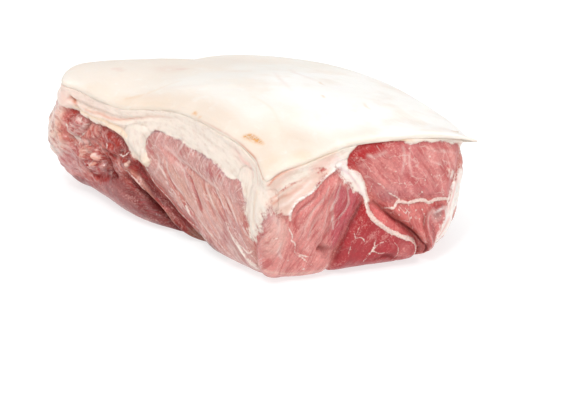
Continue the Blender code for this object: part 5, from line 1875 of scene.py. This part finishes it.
    def underside(self, base: Plan, ring: np.ndarray) -> tuple[np.ndarray, dict[str, np.ndarray]]:
        """The base inside its ring, with the wall's furrows running on under it.

        Args:
            base: The plan that the base is cut by.
            ring: The base's ring of points.

        Returns:
            The patch's points, and per-place values for the ring and those inside it.
        """
        grid = base.patch(ring)
        chart = Chart(grid[..., 0], grid[..., 1])
        raised = sum(chart.folding(crease) for crease in UNDER_CREASES.values())
        # painted shade along the furrows under the joint
        shade = raised / 6
        for edge in (grid[:, :1], grid[:, -1:], grid[:1, :], grid[-1:, :]):
            away = np.hypot(chart.across - edge[..., 0], chart.down - edge[..., 1])
            raised = np.maximum(raised, edge[..., 2] * np.clip(1 - away / FOOT_REACH, 0, 1) ** 2)
        inner = (slice(1, -1), slice(1, -1))
        bumps = 0.3 * (rough(grid, 9.0, 3, 8) + 1)
        grid[..., 2][inner] = (raised + bumps * smooth(raised, 0, 2))[inner]
        places = np.concatenate([ring, grid[inner].reshape(-1, 3)])
        count = len(places)
        dark = np.concatenate([np.zeros(len(ring)), np.clip(shade[inner].ravel(), 0, 1)])
        along_grain = places @ np.array([[0.34, 0.94, 0], [-0.94, 0.34, 0], [0, 0, 1]])
        return grid, {
            "flesh": np.broadcast_to(np.array(Flesh.UNDER.value), (count, 3)),
            "fat_tint": np.broadcast_to(np.array(self.finish.fat), (count, 3)),
            "grain": along_grain,
            "fat_grain": along_grain,
            "fat": np.full(count, -10.0),
            "silver": 6 * rough(places, 45.0, 2, 9),
            "vein": np.full(count, -4.0),
            "shade": dark,
            "fibres": np.full(count, 0.8),
            "marbling": np.full(count, 0.4),
            "threads": np.full(count, 0.5),
            "ragged": np.zeros(count),
            "comb": np.zeros((count, 3)),
            "combed": np.zeros(count),
        }

    def build(self, shift: np.ndarray) -> bpy.types.Object:
        """Make the meat.

        Args:
            shift: What brings the plan's frame to the part's, in mm.

        Returns:
            The dressed piece.
        """
        plan = self.plan
        values = self.values()
        wall = plan.wall(self.chart.down, self.relief(values))
        hidden = plan.ring(-plan.lip - self.top_tuck, self.top_rise)
        skin = Skin()
        start = skin.rings([hidden, *np.moveaxis(wall, 1, 0)])
        base = Plan(self.base_sides)
        foot = wall[:, -1]
        round_foot = [np.interp(base.places, plan.places, foot[:, k], period=plan.length) for k in range(3)]
        ring = np.stack(round_foot, axis=1)
        ring[:, :2] -= self.base_inset * base.facing
        grid, under = self.underside(base, ring)
        low = skin.add(ring)
        skin.zip(start + (self.rows + 1) * plan.count, plan.places, low, base.places)
        skin.cap(base, grid, low, faces_up=False)
        skin.fan(plan.count, start, hidden.mean(axis=0), faces_up=True)
        numbers = {}
        for key, value in values.items():
            rings = np.moveaxis(value, 1, 0)
            flat = np.concatenate([rings[:1], rings]).reshape(-1, *value.shape[2:])
            numbers[key] = np.concatenate([flat, under[key], flat[:1]])
        piece = skin.piece("meat", shift, numbers)
        piece.data.materials.append(self.finish.material())
        return piece


# The rings of the rind's edge from the top down: how far out each is, a share of the edge's
# roll where it is above 0 and mm where it is below; how high, as a share of the rind's
# thickness; and how much of the rim's colour it has.
EDGE_PROFILE = (
    (-1.0, 1.0, 0.2),
    (-0.55, 0.86, 0.3),
    (-0.2, 0.68, 0.4),
    (0.4, 0.50, 0.3),
    (1.0, 0.32, 0.2),
    (0.8, 0.14, 0.1),
)
EDGE_FOOT = ((0.0, 0.0, 0.0), (0.0, -0.3, 0.3), (0.0, -0.3, 0.6))


@dataclass
class Rind:
    """The rind on top: a thin slab with a rolled edge."""

    sides: tuple[int, int, int, int] = (290, 185, 290, 185)
    thickness: float = 3.2
    edge_out: float = 0.9
    edge_roll: float = 0.15
    edge_wave: float = 0.3
    edge_sunk: float = 0.9
    tip_thinning: float = 0.6
    edge_fat: float = 0.7
    dome: float = 10.5
    dome_power: float = 0.5
    dome_rounding: float = 0.01
    finish: RindFinish = RindFinish()

    def arch(self, share: np.ndarray) -> np.ndarray:
        """Shape the crown across the joint.

        Args:
            share: How much of the way across each point is, 0 to 1.

        Returns:
            The crown's height there: 0 at either edge and 1 in the middle.
        """
        start = self.dome_rounding**self.dome_power
        raised = (4 * share * (1 - share) + self.dome_rounding) ** self.dome_power
        return (raised - start) / ((1 + self.dome_rounding) ** self.dome_power - start)

    def top(self, plan: Plan, ring: np.ndarray) -> np.ndarray:
        """Make the crowned top inside its edge ring.

        Args:
            plan: The plan that the ring is cut by.
            ring: The ring's points.

        Returns:
            The top's points, as lines across by lines back by xyz.
        """
        grid = plan.patch(ring)
        u = np.linspace(0, 1, grid.shape[0])[:, None]
        v = np.linspace(0, 1, grid.shape[1])[None, :]
        crown = self.arch(u) * self.arch(v)
        chart = Chart(grid[..., 0], grid[..., 1])
        folds = sum(chart.folding(crease) for crease in RIND_CREASES.values())
        folds = folds + 0.5 * rough(grid, 38.0, 2, 21) + 0.14 * rough(grid, 9.0, 2, 22)
        grid[..., 2] += self.dome * crown + folds * crown
        return grid

    def paint_edge(
        self, plan: Plan, tint: np.ndarray, heights: list[float], thickness: np.ndarray
    ) -> None:
        """Colour the rind's side like the fat below it, and carry the fat's lines on over it.

        Args:
            plan: The plan that the rings are cut by.
            tint: The colours of the rings' points, changed in place.
            heights: How high each ring is above the lower edge, as shares of the thickness.
            thickness: How thick the rind is at each column, in mm.
        """
        up = np.repeat(heights, plan.count)
        share = self.edge_fat * smooth(up, 0.95, 0.45)
        tint += share[:, None] * (np.array(Touch.CREAM.value) - tint)
        chart = Chart(np.tile(plan.along, len(heights)), -up * np.tile(thickness, len(heights)))
        chart.paint(tint, (), FAT_STROKES)

    def build(self, shift: np.ndarray) -> bpy.types.Object:
        """Make the rind.

        Args:
            shift: What brings the plan's frame to the part's, in mm.

        Returns:
            The dressed piece.
        """
        plan = Plan(self.sides)
        flat = np.stack([plan.x, plan.y, 0 * plan.x], axis=1)
        wave = self.edge_wave * rough(flat, 7.0, 2, 23)
        thickness = self.thickness * (1 - self.tip_thinning * smooth(plan.lip, 3.0, 10.0))
        rings = []
        for out, up, _ in EDGE_PROFILE:
            reach = out if out < 0 else out * self.edge_roll
            rings.append(plan.ring(reach + wave * min(1, 1 + out), up * thickness))
        inset = plan.lip + 3.0
        sunk = self.edge_sunk * (0.3 + 0.7 * smooth(plan.lip, 3.0, 2.0))
        rings += [plan.ring(0, 0), plan.ring(-0.1 * sunk, -sunk), plan.ring(-inset, -0.5 * sunk)]
        skin = Skin()
        start = skin.rings(rings)
        grid = self.top(plan, rings[0])
        skin.cap(plan, grid, start, faces_up=True)
        lowest = start + (len(rings) - 1) * plan.count
        skin.fan(plan.count, lowest, rings[-1].mean(axis=0), faces_up=False)
        points = np.concatenate(skin.vertices)
        _, heights, rims = zip(*EDGE_PROFILE, *EDGE_FOOT)
        rim = np.repeat([*rims, 0.0], [plan.count] * len(rings) + [len(points) - len(rings) * plan.count])
        tint = np.broadcast_to(np.array(self.finish.skin), (len(points), 3)).copy()
        chart = Chart(points[:, 0], points[:, 1])
        chart.paint(tint, RIND_STAINS.values(), RIND_STROKES)
        self.paint_edge(plan, tint[: len(rings) * plan.count], heights, thickness)
        scab = smooth(chart.depth(RIND_STAINS["scab"].outline), -0.8, 1.2)
        piece = skin.piece("rind", shift, {"tint": tint, "rim": rim, "scab": scab})
        piece.data.materials.append(self.finish.material())
        return piece


# ---- the studio


class Lamp(Enum):
    """The lamps: azimuth and elevation they shine from, share of full light and soft angle, in degrees."""

    KEY = (-35.0, 66.0, 0.52, 55.0)
    FILL = (60.0, 32.0, 0.22, 60.0)
    GLINT = (-12.0, 52.0, 0.20, 6.0)


@dataclass
class Studio:
    """A pale floor, soft light and the camera."""

    azimuth: float = 50.0
    elevation: float = 21.0
    distance: float = 1.5
    lens: float = 152.0
    sensor: float = 36.0
    frame_size: tuple[int, int] = (570, 420)
    aim_point: Three = (0.0941, -0.0734, 0.0)
    aim_pixel: tuple[float, float] = (282.0, 278.0)
    floor_size: float = 4.0
    room_light: float = 0.48

    def floor(self) -> None:
        """Lay the floor."""
        half = self.floor_size / 2
        corners = [(-half, -half, 0), (half, -half, 0), (half, half, 0), (-half, half, 0)]
        mesh = bpy.data.meshes.new("floor")
        mesh.from_pydata(corners, [], [(0, 1, 2, 3)])
        made = bpy.data.objects.new("floor", mesh)
        mesh.materials.append(PaleFinish().material())
        bpy.context.scene.collection.objects.link(made)

    def axes(self, azimuth: float, elevation: float) -> tuple[Vector, Vector]:
        """Unit vectors to the right and towards one who looks from a direction.

        Args:
            azimuth: Degrees round, 0 from the long side and 90 from the cut face.
            elevation: Degrees up.

        Returns:
            The two vectors.
        """
        a, e = math.radians(azimuth), math.radians(elevation)
        right = Vector((math.cos(a), math.sin(a), 0))
        back = Vector((math.sin(a) * math.cos(e), -math.cos(a) * math.cos(e), math.sin(e)))
        return right, back

    def lights(self) -> None:
        """Hang soft lamps and fill the rest from a white room."""
        world = bpy.data.worlds.new("white_room")
        world.use_nodes = True
        background = world.node_tree.nodes["Background"]
        background.inputs["Color"].default_value = (1, 1, 1, 1)
        background.inputs["Strength"].default_value = self.room_light
        bpy.context.scene.world = world
        for lamp in Lamp:
            azimuth, elevation, share, angle = lamp.value
            data = bpy.data.lights.new(lamp.name.lower(), "SUN")
            data.energy = share * math.pi
            data.angle = math.radians(angle)
            made = bpy.data.objects.new(lamp.name.lower(), data)
            made.rotation_mode = "QUATERNION"
            made.rotation_quaternion = self.axes(self.azimuth + azimuth, elevation)[1].to_track_quat("Z", "Y")
            bpy.context.scene.collection.objects.link(made)

    def camera(self) -> None:
        """Set the camera so that the aim point falls on its pixel."""
        right, back = self.axes(self.azimuth, self.elevation)
        up = back.cross(right)
        width, height = self.frame_size
        per_pixel = self.sensor / self.lens / width * self.distance
        across = (self.aim_pixel[0] - width / 2) * per_pixel
        above = (height / 2 - self.aim_pixel[1]) * per_pixel
        place = Vector(self.aim_point) - (right * across + up * above - back * self.distance)
        data = bpy.data.cameras.new("camera")
        data.lens = self.lens
        data.sensor_width = self.sensor
        data.clip_start = 0.05
        camera = bpy.data.objects.new("camera", data)
        camera.matrix_world = Matrix.Translation(place) @ Matrix((right, up, back)).transposed().to_4x4()
        bpy.context.scene.collection.objects.link(camera)
        bpy.context.scene.camera = camera

    def build(self) -> None:
        """Set up the floor, the lights and the camera."""
        self.floor()
        self.lights()
        self.camera()
        bpy.context.scene.view_settings.view_transform = "Standard"


def main() -> None:
    """Build the joint and its studio."""
    logging.basicConfig(level=logging.INFO, format="%(name)s: %(message)s")
    shift = plan_shift()
    LOG.info("plan moved by %.3f, %.3f mm", shift[0], shift[1])
    for part in (Meat(), Rind()):
        piece = part.build(shift)
        LOG.info("made %s", piece.name)
    Studio().build()


if __name__ == "__main__":
    main()
